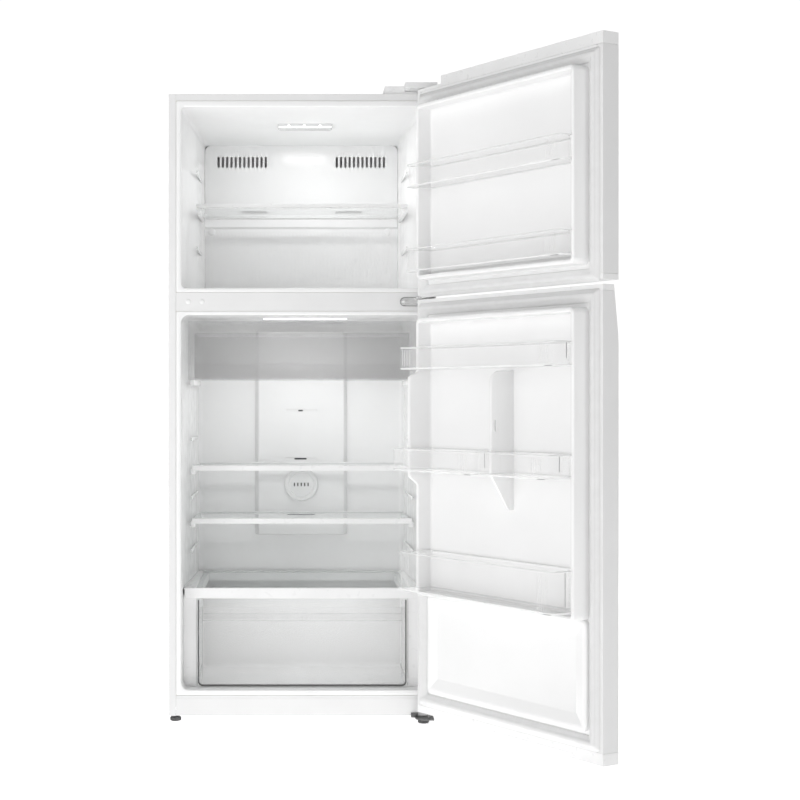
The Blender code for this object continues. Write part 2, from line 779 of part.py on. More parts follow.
def bottom_hinge():
    """Plate under the case with a tab on the plinth and a pin up into the fridge door."""
    outline = [(0.296, 0.075), (0.296, -0.028), (0.312, -0.0445), (0.344, -0.0445), (0.348, 0.075)]
    plate = prism_part("bottom_hinge", outline, "Z", 0.0122, 0.0157, ZINC)
    join(plate, box_tool("bottom_tab", [((0.286, -0.0035, 0.0122), (0.304, -0.0005, 0.0255))]))
    bm = bmesh.new()
    pin_rod(bm, 0.0140, 0.0460)
    join(plate, tool("bottom_pin", bm))
    return plate


def front_foot(name, x, y, top):
    """Screw-in levelling foot, knurled at the rim."""
    holder = carrier(name + "_axis", (x, y, 0.0), ROOT)
    profile = [
        (0.0, top), (0.0075, top), (0.0080, 0.0100), (0.0135, 0.0090), (0.0145, 0.0070),
        (0.0145, 0.0020), (0.0130, 0.0), (0.0, 0.0),
    ]
    return turned(name, profile, (x, y, 0.0), (0.0, 0.0, 0.0), DARK, holder, steps=20)


def rear_roller(name, side):
    """Roller on its own axle."""
    radius, x, y = 0.0145, side * 0.300, 0.560
    holder = carrier(name + "_axis", (x, y, radius), ROOT)
    profile = [
        (0.0, 0.0385), (0.004, 0.0385), (0.004, 0.011), (0.0125, 0.011), (radius, 0.009),
        (radius, -0.009), (0.0125, -0.011), (0.004, -0.011), (0.004, -0.014), (0.0, -0.014),
    ]
    return turned(name, profile, (x, y, radius), (0.0, side * pi / 2, 0.0), DARK, holder, steps=20)


# Doors, drawn closed
def door_x(u):
    """X of a point at distance u from the hinge edge."""
    return CASE_HALF - u


def door_y(w):
    """Y of a point at height w above the door's inner face."""
    return DOOR_IN + w


def arc(centre, radius, start, end, count):
    """Points along an arc, with angles in degrees."""
    found = []
    for index in range(count + 1):
        angle = radians(start + (end - start) * index / count)
        found.append((centre[0] + radius * cos(angle), centre[1] + radius * sin(angle)))
    return found


def door_plan(inset, inner_y=DOOR_IN):
    """Outline of a door from above, rounded at its outer corners."""
    half, out = CASE_HALF - inset, DOOR_OUT + inset
    wide, small = HINGE_CORNER - inset, max(FREE_CORNER - inset, 0.0008)
    return (
        [(half, inner_y)]
        + arc((half - wide, out + wide), wide, 0, -90, 5)
        + arc((-half + small, out + small), small, -90, -180, 2)
        + [(-half, inner_y)]
    )


def ring(bm, u_low, u_high, z_low, z_high, w_low, w_high):
    box(bm, (door_x(u_high), door_y(w_low), z_low), (door_x(u_low), door_y(w_high), z_high))


def door_box(name, u_span, w_span, z_span, holder):
    bm = bmesh.new()
    ring(bm, *u_span, *z_span, *w_span)
    return tool(name, bm, holder)


def grip_wedge(name, holder, deeper=0.0):
    """The slope cut into the top free corner of the fridge door."""
    low, high = GRIP_Z
    outline = [
        (DOOR_OUT - 0.010, low - deeper), (DOOR_OUT + deeper, low - deeper),
        (DOOR_OUT + GRIP_DEPTH + deeper, high + deeper),
        (DOOR_OUT + GRIP_DEPTH + deeper, high + 0.010), (DOOR_OUT - 0.010, high + 0.010),
    ]
    return prism_tool(name, outline, "X", -0.40, GRIP_X + deeper, holder)


def door_skin(name, holder, z_span):
    """Folded sheet: front, both edges, and a return on the inner face."""
    skin = prism_part(name, door_plan(0.0), "Z", *z_span, WHITE_STEEL, holder)
    hollow = door_plan(SHEET, DOOR_IN - SHEET)
    cut(skin, prism_tool(name + "_hollow", hollow, "Z", z_span[0] - 0.01, z_span[1] + 0.01, holder))
    far = 2 * CASE_HALF - DOOR_EDGE
    z_cut = (z_span[0] - 0.01, z_span[1] + 0.01)
    cut(skin, door_box(name + "_mouth", (DOOR_EDGE, far), (-0.004, 0.01), z_cut, holder))
    return skin


def door_cap(name, holder, z_span, opens_up):
    """Moulded end cap, hollow on the side that faces the insulation."""
    cap = prism_part(name, door_plan(0.0), "Z", *z_span, WHITE_ABS, holder)
    wall = 0.0025
    low = z_span[0] + wall if opens_up else z_span[0] - 0.01
    high = z_span[1] + 0.01 if opens_up else z_span[1] - wall
    hollow = door_plan(wall, DOOR_IN - wall)
    cut(cap, prism_tool(name + "_hollow", hollow, "Z", low, high, holder))
    return cap


def pin_boss(cap, name, holder, z_span, bore_span):
    """Bush in a door cap, with running clearance on the hinge pin."""
    bm = bmesh.new()
    rod(bm, 0.009, (PIN.x, PIN.y, z_span[0]), (PIN.x, PIN.y, z_span[1]), 16)
    join(cap, tool(name + "_boss", bm, holder))
    bm = bmesh.new()
    rod(bm, PIN_RADIUS + 0.0003, (PIN.x, PIN.y, bore_span[0]), (PIN.x, PIN.y, bore_span[1]), 12)
    cut(cap, tool(name + "_bore", bm, holder))


def door_foam(name, holder, z_span):
    inset = SHEET + GAP
    plan = door_plan(inset, DOOR_IN - 0.0025)
    return prism_part(name, plan, "Z", z_span[0] + GAP, z_span[1] - GAP, FOAM, holder)


def gasket(name, holder, z_span):
    """Magnetic seal round the door, just short of the case when shut."""
    bm = bmesh.new()
    far = 2 * CASE_HALF - GASKET_U
    ring(bm, GASKET_U, far, *z_span, GAP, DOOR_GAP - GAP)
    seal = part(name, bm, GASKET_GREY, holder)
    inner_z = (z_span[0] + GASKET_WIDTH, z_span[1] - GASKET_WIDTH)
    cut(seal, door_box(name + "_middle", GASKET_INNER_U, (-0.01, 0.03), inner_z, holder))
    return seal


def liner_plate(name, holder, z_span):
    """Flat flange of a door liner, between the returns of the skin."""
    bm = bmesh.new()
    far = 2 * CASE_HALF - DOOR_EDGE - GAP
    ring(bm, DOOR_EDGE + GAP, far, z_span[0] + GAP, z_span[1] - GAP, -0.002, 0.0)
    return part(name, bm, WHITE_ABS, holder)


def freezer_door_liner(holder):
    name = "freezer_door_liner"
    panel = liner_plate(name, holder, FREEZER_CAPS)
    low, high = FREEZER_RIDGE_Z
    join(panel, door_box(name + "_rim", RIDGE_U, (-0.001, RIDGE_W), (low, high), holder))
    cut(panel, door_box(name + "_pan", RIDGE_INNER_U, (PAN_W, 0.2), (low + RIM, high - RIM), holder))
    return panel


def fridge_door_liner(holder):
    """Liner with a rim that is taller beside the middle racks' hinge end, a fin and a lower panel."""
    name = "fridge_door_liner"
    panel = liner_plate(name, holder, FRIDGE_CAPS)
    low, high = FRIDGE_RIDGE_Z
    join(panel, door_box(name + "_rim", RIDGE_U, (-0.001, RIDGE_W), (low, high), holder))
    shallow, tall = door_y(RIDGE_W - 0.001), door_y(TALL_RIDGE_W)
    crest = [(shallow, TALL_RIDGE_Z[0] - 0.026), (tall, TALL_RIDGE_Z[0]), (tall, TALL_RIDGE_Z[1]),
             (shallow, TALL_RIDGE_Z[1] + 0.0155)]
    ends = (door_x(RIDGE_INNER_U[0]), door_x(RIDGE_U[0]))
    join(panel, prism_tool(name + "_crest", crest, "X", *ends, holder))
    cut(panel, door_box(name + "_pan", RIDGE_INNER_U, (PAN_W, 0.2), (low + RIM, high - RIM), holder))
    lower_z = (LOWER_PANEL_Z[0], low + 0.001)
    join(panel, door_box(name + "_lower", RIDGE_U, (-0.001, LOWER_PANEL_W), lower_z, holder))
    shallow_u = (RIDGE_U[0] + 0.022, RIDGE_U[1] - 0.022)
    shallow_z = (lower_z[0] + 0.022, low - 0.012)
    cut(panel, door_box(name + "_shallow", shallow_u, (0.005, 0.05), shallow_z, holder))
    fin = [(door_y(PAN_W - 0.002), 0.918), (door_y(0.060), 0.918), (door_y(TALL_RIDGE_W), 0.890),
           (door_y(TALL_RIDGE_W), 0.670), (door_y(PAN_W - 0.002), 0.585)]
    join(panel, prism_tool(name + "_fin", fin, "X", door_x(FIN_U[1]), door_x(FIN_U[0]), holder))
    return panel


def rack_plan(wide, narrow, w_step, w_front, inset):
    """Outline of a door rack from above: narrow between the rims, wide in front of them."""
    w_back = PAN_W + 0.001 + inset
    w_mid, w_end = w_step + 0.0015 + inset, w_front - inset
    corners = [
        (narrow[0] + inset, w_back), (narrow[1] - inset, w_back), (narrow[1] - inset, w_mid),
        (wide[1] - inset, w_mid), (wide[1] - inset, w_end), (wide[0] + inset, w_end),
        (wide[0] + inset, w_mid), (narrow[0] + inset, w_mid),
    ]
    return [(door_x(u), door_y(w)) for u, w in corners]


def rack(name, door, wide, narrow, z_span, w_step, w_front):
    """Open tray that hangs on the door liner and lifts off upwards."""
    middle = (door_x(sum(wide) / 2), door_y(w_step), z_span[0])
    holder = carrier(name + "_lift", middle, door)
    tray = prism_part(name, rack_plan(wide, narrow, w_step, w_front, 0.0), "Z", *z_span, CLEAR, holder)
    inside = rack_plan(wide, narrow, w_step, w_front, RACK_WALL)
    low, high = z_span[0] + RACK_WALL, z_span[1] + 0.01
    cut(tray, prism_tool(name + "_inside", inside, "Z", low, high, holder))
    return tray


def freezer_door():
    door = carrier("freezer_door_axis", (PIN.x, PIN.y, FREEZER_DOOR_Z[0]), ROOT, OPEN_ANGLE)
    bottom, top = FREEZER_DOOR_Z
    low, high = FREEZER_CAPS
    door_skin("freezer_door_skin", door, (low + GAP, high - GAP))
    cap = door_cap("freezer_door_top_cap", door, (high, top), False)
    step = ((door_x(HINGE_STEP_U), -0.10, HINGE_STEP_Z), (0.40, 0.10, top + 0.01))
    under = ((door_x(HINGE_STEP_U) - 0.0025, DOOR_OUT + 0.004, HINGE_STEP_Z - 0.0025),
             (door_x(0.014), DOOR_IN - 0.001, top - 0.001))
    join(cap, box_tool("top_cap_fill", [under], door))
    cut(cap, box_tool("top_cap_step", [step], door))
    pin_boss(cap, "top_cap", door, (high + 0.001, HINGE_STEP_Z - 0.001), (1.60, 1.70))
    cap = door_cap("freezer_door_bottom_cap", door, (bottom, low), True)
    pin_boss(cap, "freezer_bottom", door, (bottom + 0.001, low - 0.0005), (1.10, 1.1330))
    freezer_door_liner(door)
    gasket("freezer_door_gasket", door, FREEZER_GASKET_Z)
    foam = door_foam("freezer_door_foam", door, (low, high))
    bm = bmesh.new()
    rod(bm, 0.007, (PIN.x, PIN.y, HINGE_STEP_Z - 0.021), (PIN.x, PIN.y, 1.70), 12)
    cut(foam, tool("top_pin_space", bm, door))
    rack("freezer_rack_upper", door, RACK_OUTER_U, RACK_INNER_U, (1.390, 1.450), RIDGE_W, 0.082)
    rack("freezer_rack_lower", door, RACK_OUTER_U, RACK_INNER_U, (1.174, 1.234), RIDGE_W, 0.086)


def grip_insert(door):
    """Moulded slope that closes the grip recess of the fridge door."""
    low, high = GRIP_Z[0] + 0.0118, FRIDGE_CAPS[1] - 0.0008
    slope = GRIP_DEPTH / (GRIP_Z[1] - GRIP_Z[0])

    def face(z):
        return DOOR_OUT + slope * (z - GRIP_Z[0])

    outline = [(face(low), low), (face(low) + 0.0024, low), (face(high) + 0.0024, high),
               (face(high), high)]
    return prism_part("fridge_door_grip", outline, "X", -CASE_HALF + 0.0025,
                      GRIP_X - GAP, WHITE_ABS, door)


def fridge_door():
    door = carrier("fridge_door_axis", (PIN.x, PIN.y, FRIDGE_DOOR_Z[0]), ROOT, OPEN_ANGLE)
    bottom, top = FRIDGE_DOOR_Z
    low, high = FRIDGE_CAPS
    skin = door_skin("fridge_door_skin", door, (low + GAP, high - GAP))
    cut(skin, grip_wedge("grip_in_skin", door))
    cap = door_cap("fridge_door_top_cap", door, (high, top), False)
    pin_boss(cap, "fridge_top", door, (high + 0.0005, top - 0.001), (1.0970, 1.12))
    behind_grip = ((-CASE_HALF + 0.001, DOOR_OUT + 0.010, high + 0.0005),
                   (GRIP_X + 0.003, DOOR_IN - 0.001, top - 0.001))
    join(cap, box_tool("grip_cap_fill", [behind_grip], door))
    cut(cap, grip_wedge("grip_in_cap", door))
    cap = door_cap("fridge_door_bottom_cap", door, (bottom, low), True)
    pin_boss(cap, "fridge_bottom", door, (bottom + 0.001, low - 0.0005), (0.0, 0.0490))
    inner, skirt = door_x(SKIRT_U), DOOR_OUT + 0.0008
    plan = [(-CASE_HALF, DOOR_IN), (inner, DOOR_IN), (inner, skirt), (-CASE_HALF + 0.0008, skirt)]
    join(cap, prism_tool("bottom_cap_skirt", plan, "Z", SKIRT_Z, bottom + 0.0005, door))
    fridge_door_liner(door)
    gasket("fridge_door_gasket", door, FRIDGE_GASKET_Z)
    foam = door_foam("fridge_door_foam", door, (low, high))
    cut(foam, grip_wedge("grip_in_foam", door, 0.003))
    grip_insert(door)
    rack("fridge_rack_top", door, RACK_OUTER_U, RACK_INNER_U, (0.9245, 0.982), RIDGE_W, 0.104)
    middle = (0.668, 0.725)
    left_wide, left_narrow = (RACK_OUTER_U[0], 0.3870), (RACK_INNER_U[0], 0.3860)
    right_wide, right_narrow = (0.4030, RACK_OUTER_U[1]), (0.4040, RACK_INNER_U[1])
    rack("fridge_rack_hinge_side", door, left_wide, left_narrow, middle, TALL_RIDGE_W, DEEP_RACK_W)
    rack("fridge_rack_free_side", door, right_wide, right_narrow, middle, RIDGE_W, DEEP_RACK_W)
    rack("fridge_rack_bottom", door, RACK_OUTER_U, RACK_INNER_U, (0.363, 0.462), RIDGE_W, 0.108)


def cabinet():
    side_panel("side_panel_left", -1)
    side_panel("side_panel_right", 1)
    top_panel()
    rear_panel()
    insulation()
    base_frame()
    kick_panel()
    mullion_plate()
    shelf_rail = (0.278, 0.166, 0.400, 1.3580, 1.3740)
    liner("freezer_liner", freezer_profile, freezer_half,
          (MULLION_Z[1] + GAP, FREEZER_Z[1] + 0.0160), [shelf_rail])
    rails = [
        (0.290, 0.140, 0.450, 0.6450, 0.6608),
        (0.290, 0.140, 0.450, 0.5020, 0.5178),
        (0.292, 0.130, 0.435, 0.8880, 0.9035),
        (0.281, 0.052, 0.362, FRIDGE_Z[0] + CORNER_RADIUS, FRIDGE_Z[0] + 0.0200),
    ]
    liner("fridge_liner", fridge_profile, fridge_half, (0.0700, MULLION_Z[0] - GAP), rails)


def fittings():
    evaporator_cover()
    evaporator()
    fan_motor()
    evaporator_fan()
    freezer_lamp()
    shelf("freezer_shelf", 0.288, 0.140, 0.162, 0.2835, 0.410, 1.3810, 0.0095)
    duct_cover()
    deodoriser_cap()
    fridge_lamp()
    chiller_drawer()
    shelf("upper_shelf", 0.298, 0.118, 0.136, 0.2965, 0.455, 0.6700, 0.0135)
    shelf("lower_shelf", 0.298, 0.118, 0.136, 0.2965, 0.455, 0.5275, 0.0145)
    crisper_frame()
    crisper_glass()
    crisper_drawer()
    compressor()
    condenser()
    drip_tray()
    bay_cover()
    cord_gland()


def hardware():
    top_hinge()
    top_hinge_cover()
    middle_hinge()
    bottom_hinge()
    front_foot("front_foot_left", -0.335, 0.024, 0.0176)
    front_foot("front_foot_right", 0.318, -0.010, 0.0119)
    rear_roller("rear_roller_left", -1)
    rear_roller("rear_roller_right", 1)


cabinet()
fittings()
hardware()
freezer_door()
fridge_door()
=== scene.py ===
"""Looks of the top freezer refrigerator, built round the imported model.

Lengths are in metres. Pieces are drawn in the cabinet's frame: X from the middle of the case, Y
from its front plane towards the back, Z up from the floor. A door's pieces are drawn shut, and then
swung open about the hinge pin.
"""

import json
from contextlib import contextmanager
from math import atan2, cos, pi, radians, sin, tan

import bmesh
import bpy
from mathutils import Matrix, Vector

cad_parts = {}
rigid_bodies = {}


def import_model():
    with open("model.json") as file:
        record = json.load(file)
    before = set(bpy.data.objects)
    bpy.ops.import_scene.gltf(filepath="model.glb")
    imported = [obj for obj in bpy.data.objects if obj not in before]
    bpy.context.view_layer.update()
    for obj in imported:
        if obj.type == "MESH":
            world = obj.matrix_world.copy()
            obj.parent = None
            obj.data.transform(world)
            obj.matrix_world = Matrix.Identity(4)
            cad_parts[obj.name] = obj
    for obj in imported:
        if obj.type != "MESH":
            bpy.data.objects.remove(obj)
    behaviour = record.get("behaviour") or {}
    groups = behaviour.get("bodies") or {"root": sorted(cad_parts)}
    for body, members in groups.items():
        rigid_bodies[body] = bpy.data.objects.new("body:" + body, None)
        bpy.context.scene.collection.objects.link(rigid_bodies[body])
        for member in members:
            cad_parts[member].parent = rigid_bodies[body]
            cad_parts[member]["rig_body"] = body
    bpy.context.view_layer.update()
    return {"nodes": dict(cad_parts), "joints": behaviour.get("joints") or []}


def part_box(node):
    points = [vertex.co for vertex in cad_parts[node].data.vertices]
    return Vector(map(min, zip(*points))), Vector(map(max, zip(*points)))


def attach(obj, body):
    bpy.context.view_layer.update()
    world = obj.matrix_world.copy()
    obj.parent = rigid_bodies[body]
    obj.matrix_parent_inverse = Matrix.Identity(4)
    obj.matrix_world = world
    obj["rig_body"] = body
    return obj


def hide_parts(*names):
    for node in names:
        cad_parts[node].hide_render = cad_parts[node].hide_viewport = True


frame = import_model()
scene = bpy.context.scene
NODES = frame["nodes"]


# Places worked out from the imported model
HINGE = next(joint for joint in frame["joints"] if joint["name"] == "freezer_door_hinge")
CASE_LOW, CASE_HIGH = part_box("side_panel_left")[0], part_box("side_panel_right")[1]
CABINET = Matrix.Translation(((CASE_LOW.x + CASE_HIGH.x) / 2, CASE_LOW.y, 0.0))
PIN = Matrix.Translation(HINGE["pos_m"])
OPEN_TURN = Matrix.Rotation(-radians(HINGE["range_deg"][0]), 4, "Z")
DOORWAY = PIN @ OPEN_TURN @ PIN.inverted() @ CABINET


def place_of(body):
    """Where the frame that a body's pieces are drawn in stands at rest."""
    return DOORWAY if "door" in body or "rack" in body else CABINET


def span(node):
    """Lowest and highest corner of a node, in the frame that its pieces are drawn in."""
    back = place_of(NODES[node]["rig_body"]).inverted()
    points = [back @ vert.co for vert in NODES[node].data.vertices]
    return [Vector([pick(point[axis] for point in points) for axis in range(3)])
            for pick in (min, max)]


# Materials
def shader_of(look):
    return look.node_tree.nodes["Principled BSDF"]


def new_look(name, slot=None, **fixed):
    """A material whose fixed values sit on the shader's own sockets."""
    made = bpy.data.materials.new(name)
    made.use_nodes = True
    made["slot"] = slot or name
    for socket, value in fixed.items():
        shader_of(made).inputs[socket.replace("_", " ")].default_value = value
    return made


def node_in(look, kind, **values):
    made = look.node_tree.nodes.new(kind)
    for socket, value in values.items():
        made.inputs[socket.replace("_", " ")].default_value = value
    return made


def link(look, source, target):
    look.node_tree.links.new(source, target)


def places(look, stretch=(1.0, 1.0, 1.0)):
    """Coordinates fixed to the piece, in metres, stretched along each axis."""
    coordinates = node_in(look, "ShaderNodeTexCoord")
    mapping = node_in(look, "ShaderNodeMapping", Scale=stretch)
    link(look, coordinates.outputs["Object"], mapping.inputs["Vector"])
    return mapping.outputs["Vector"]


def noise(look, scale, detail=3.0, stretch=(1.0, 1.0, 1.0)):
    made = node_in(look, "ShaderNodeTexNoise", Scale=scale, Detail=detail)
    link(look, places(look, stretch), made.inputs["Vector"])
    return made.outputs["Fac"]


def cells(look, scale, output="Distance"):
    made = node_in(look, "ShaderNodeTexVoronoi", Scale=scale)
    link(look, places(look), made.inputs["Vector"])
    return made.outputs[output]


def stripes(look, pitch):
    """Bands across X."""
    made = node_in(look, "ShaderNodeTexWave", Scale=0.1 * pi / pitch)
    made.bands_direction = "X"
    link(look, places(look), made.inputs["Vector"])
    return made.outputs["Fac"]


def tint(look, factor, dark, light, start=0.3, end=0.7):
    """Colour that wanders between two tones, each a grey or a colour."""
    ramp = node_in(look, "ShaderNodeValToRGB")
    for element, place, tone in zip(ramp.color_ramp.elements, (start, end), (dark, light)):
        element.position = place
        element.color = (tone, tone, tone, 1.0) if isinstance(tone, float) else (*tone, 1.0)
    link(look, factor, ramp.inputs["Fac"])
    link(look, ramp.outputs["Color"], shader_of(look).inputs["Base Color"])


def sheen_patches(look, factor, low, high):
    """Roughness that wanders between two values."""
    spread = node_in(look, "ShaderNodeMapRange", From_Min=0.3, From_Max=0.7,
                     To_Min=low, To_Max=high)
    link(look, factor, spread.inputs["Value"])
    link(look, spread.outputs["Result"], shader_of(look).inputs["Roughness"])


def relief(look, factor, depth):
    """Bump of a given depth in metres; a second call adds to the first."""
    normal = shader_of(look).inputs["Normal"]
    bump = node_in(look, "ShaderNodeBump", Distance=depth)
    link(look, factor, bump.inputs["Height"])
    if normal.is_linked:
        link(look, normal.links[0].from_socket, bump.inputs["Normal"])
    link(look, bump.outputs["Normal"], normal)


def layered(name, colour, rough, grain=None, **fixed):
    """Tint and roughness as a noise scale and two ends, grain as its scale, detail and depth."""
    look = new_look(name, **fixed)
    tint(look, noise(look, colour[0]), *colour[1:])
    sheen_patches(look, noise(look, rough[0]), *rough[1:])
    if grain:
        relief(look, noise(look, *grain[:2]), grain[2])
    return look


# White stoved paint with a fine orange peel
PAINT = layered("white_paint", (9.0, 0.742, 0.767), (60.0, 0.28, 0.38), (520.0, 2.0, 0.00004),
                Coat_Weight=0.25, Coat_Roughness=0.12, slot="white_steel")
# Vacuum formed white sheet: glossy, with slow waves and a faint grain
LINER = layered("liner_plastic", (5.0, 0.84, 0.86), (30.0, 0.16, 0.26), (22.0, 1.0, 0.0003),
                slot="white_plastic")
relief(LINER, noise(LINER, 900.0, 2.0), 0.00002)
# White injection moulded plastic with a satin finish
MOULDED = layered("moulded_plastic", (12.0, 0.8, 0.83), (80.0, 0.26, 0.36), (1400.0, 2.0, 0.00002),
                  slot="white_plastic")
# Soft grey-white vinyl with a faintly uneven tone
VINYL = layered("gasket_vinyl", (40.0, 0.7, 0.73), (120.0, 0.55, 0.65), (700.0, 2.0, 0.00002),
                Specular_IOR_Level=0.3, slot="gasket_rubber")
# Clear polystyrene with faint flow waves
CLEAR = layered("clear_plastic", (8.0, 0.9, 0.95), (45.0, 0.03, 0.08), (35.0, 1.0, 0.00012),
                Alpha=0.055)
# Painted highlight: a whiter, more opaque copy of the clear polystyrene for its thick edges,
# standing in for the light they gather
EDGE_HIGHLIGHT = layered("clear_edge_highlight", (30.0, 0.86, 0.92), (60.0, 0.08, 0.16), (90.0, 1.0, 0.00006),
               Alpha=0.62, slot="clear_plastic")
# Painted shade: a dark copy of the clear polystyrene, standing in for the dark look of a clear edge
# seen end on
SHADED = layered("shaded_edge", (60.0, 0.16, 0.24), (60.0, 0.15, 0.25), (90.0, 1.0, 0.00004),
                 Alpha=0.75, slot="clear_plastic")
# Painted shade: a grey copy of the clear plastic for moulded lines, faintly darker than what is
# behind it
GREY_EDGE_SHADE = layered("grey_edge_shade", (50.0, 0.3, 0.4), (60.0, 0.1, 0.2), (90.0, 1.0, 0.00004),
                    Alpha=0.3, slot="clear_plastic")
# Grey translucent plastic
FROSTED = layered("frosted_plastic", (6.0, 0.42, 0.46), (50.0, 0.2, 0.3), (500.0, 2.0, 0.00003),
                  Alpha=0.22, IOR=1.45)
# Tempered glass with a trace of green
GLASS = layered("shelf_glass", (3.0, (0.74, 0.8, 0.785), (0.79, 0.84, 0.825)), (25.0, 0.0, 0.03),
                (14.0, 1.0, 0.0001), Alpha=0.14)
# Galvanised sheet with its spangle
ZINC = new_look("zinc_steel", Metallic=0.92)
tint(ZINC, cells(ZINC, 130.0, "Color"), 0.5, 0.68, 0.1, 0.9)
sheen_patches(ZINC, noise(ZINC, 90.0), 0.28, 0.45)
relief(ZINC, noise(ZINC, 600.0, 2.0), 0.00003)
# Plated hinge steel, drawn along X
PLATED = new_look("plated_steel", "zinc_steel", Metallic=0.55)
tint(PLATED, noise(PLATED, 120.0, 3.0, (0.08, 1.0, 1.0)), 0.68, 0.8)
sheen_patches(PLATED, noise(PLATED, 300.0, 2.0, (0.05, 1.0, 1.0)), 0.2, 0.34)
relief(PLATED, noise(PLATED, 900.0, 2.0, (0.05, 1.0, 1.0)), 0.00002)
# Hinge steel with a dark oiled finish
BLACKENED = layered("blackened_steel", (90.0, 0.1, 0.2), (180.0, 0.3, 0.45), (700.0, 2.0, 0.00003),
                    Metallic=0.7, slot="zinc_steel")
# Charcoal moulded plastic with a leathery grain
DARK = layered("dark_plastic", (150.0, 0.055, 0.09), (200.0, 0.42, 0.58))
relief(DARK, cells(DARK, 900.0), 0.00006)
# Drawn copper, browned in patches
COPPER = layered("copper_tube", (45.0, (0.42, 0.19, 0.11), (0.82, 0.47, 0.33)), (110.0, 0.22, 0.45),
                 (500.0, 2.0, 0.00003), Metallic=1.0)
# Pressed fins, close together along X
ALUMINIUM = layered("aluminium_fins", (70.0, 0.6, 0.76), (150.0, 0.3, 0.46), Metallic=0.95)
relief(ALUMINIUM, stripes(ALUMINIUM, 0.003), 0.0008)
# Poured polyurethane foam with small cells
FOAM = layered("insulation_foam", (30.0, (0.72, 0.69, 0.6), (0.8, 0.78, 0.7)), (60.0, 0.82, 0.95))
relief(FOAM, cells(FOAM, 420.0), 0.0006)
# Black paint over a drawn steel shell
ENAMEL = layered("black_enamel", (25.0, 0.012, 0.028), (80.0, 0.3, 0.48), (380.0, 2.0, 0.00008),
                 Coat_Weight=0.4, Coat_Roughness=0.15)
# Opal lens, lit from behind
LENS = layered("lamp_lens", (20.0, 0.6, 0.64), (60.0, 0.15, 0.25), Emission_Strength=0.06,
               slot="clear_plastic")
relief(LENS, stripes(LENS, 0.004), 0.0003)
# Bright spot of a light-emitting diode
CHIP = layered("lamp_chip", (200.0, 0.9, 0.96), (100.0, 0.1, 0.2), Emission_Strength=1.6,
               slot="clear_plastic")


# Outlines
def corners(points):
    """Each point of an outline, with the directions that lead to it and away from it."""
    return [(here, (here - points[index - 1]).normalized(),
             (points[index + 1 - len(points)] - here).normalized())
            for index, here in enumerate(points)]


def moved_in(points, inset):
    """An anticlockwise outline with each edge moved inwards."""
    found = []
    for here, first, second in corners([Vector(point) for point in points]):
        normals = Vector((-first.y - second.y, first.x + second.x))
        found.append(here + normals * inset / (1.0 + first.dot(second)))
    return found


def rounded(points, radii, inset=0.0, steps=5):
    """An anticlockwise outline with round corners; a radius of 0 keeps the point."""
    sizes = [radii] * len(points) if isinstance(radii, float) else radii
    found = []
    for size, (here, first, second) in zip(sizes, corners(moved_in(points, inset))):
        if size == 0.0:
            found.append(here)
            continue
        turn = atan2(first.x * second.y - first.y * second.x, first.dot(second))
        side = 1.0 if turn > 0 else -1.0
        radius = max(size - side * inset, 0.0002)
        start = here - first * (radius * tan(abs(turn) / 2))
        centre = start + Vector((-first.y, first.x)) * radius * side
        for step in range(steps + 1):
            found.append(centre + Matrix.Rotation(turn * step / steps, 2) @ (start - centre))
    return found


def rectangle(low, high):
    return [(low[0], low[1]), (high[0], low[1]), (high[0], high[1]), (low[0], high[1])]


def raised(outline, axis, level):
    """A flat outline as a ring of points, standing across X, Y or Z."""
    order = {"X": (2, 0, 1), "Y": (0, 2, 1), "Z": (0, 1, 2)}[axis]
    return [Vector([(a, b, level)[place] for place in order]) for a, b in outline]


def layers(outline, radii, axis, levels, steps=5):
    """Rings of a round-cornered outline, one for each inset and level."""
    return [raised(rounded(outline, radii, inset, steps), axis, level) for inset, level in levels]


def stacked(*stacks):
    """Insets and heights of stacks: a base height, then insets with heights above the base."""
    return [(inset, base + rise) for base, *steps in stacks for inset, rise in steps]


def quarter(steps=4):
    """Sine and cosine along a quarter turn."""
    angles = [pi / 2 * step / steps for step in range(steps + 1)]
    return [(sin(angle), cos(angle)) for angle in angles]


# Mesh work
def loft(bm, rings, start_cap=True, round_trip=False):
    """Join rings of equal length with a skin, closed at its ends unless it goes round."""
    rows = [[bm.verts.new(point) for point in ring] for ring in rings]
    closing = [(rows[-1], rows[0])] if round_trip else []
    for first, second in [*zip(rows, rows[1:]), *closing]:
        for index in range(len(first)):
            bm.faces.new((first[index - 1], first[index], second[index], second[index - 1]))
    if start_cap and not round_trip:
        bm.faces.new(rows[0][::-1])
    if not round_trip:
        bm.faces.new(rows[-1])


def prism(bm, outline, axis, low, high):
    loft(bm, [raised(outline, axis, low), raised(outline, axis, high)])


def block(bm, low, high, radius=0.0002):
    """A box between two corners, with rounded edges."""
    low, high = Vector(low), Vector(high)
    size = Matrix.Diagonal((*(abs(side) for side in high - low), 1.0))
    made = bmesh.ops.create_cube(bm, size=1.0, matrix=Matrix.Translation((low + high) / 2) @ size)
    edges = {edge for vert in made["verts"] for edge in vert.link_edges}
    bmesh.ops.bevel(bm, geom=list(edges), offset=radius, segments=2 if radius < 0.0005 else 3,
                    profile=0.5, affect="EDGES", clamp_overlap=True)


def lathe(bm, profile, centre, axis="Z", steps=32):
    """Turn a profile of (radius, height) points about an axis through a centre."""
    turns = {"Z": Matrix.Identity(4), "Y": Matrix.Rotation(pi / 2, 4, "X"),
             "-Y": Matrix.Rotation(-pi / 2, 4, "X"), "X": Matrix.Rotation(pi / 2, 4, "Y")}
    place = Matrix.Translation(centre) @ turns[axis]
    angles = [2 * pi * step / steps for step in range(steps)]
    loft(bm, [[place @ Vector((radius * cos(angle), radius * sin(angle), height))
               for angle in angles] for radius, height in profile])


def grid(bm, rows, back_y):
    """A plate with a shaped front: rows of points, closed by a flat back."""
    loft(bm, [row + [Vector((row[end].x, back_y, row[end].z)) for end in (-1, 0)] for row in rows])


def placed(name, data):
    """An object of the scene with the given data."""
    thing = bpy.data.objects.new(name, data)
    scene.collection.objects.link(thing)
    return thing


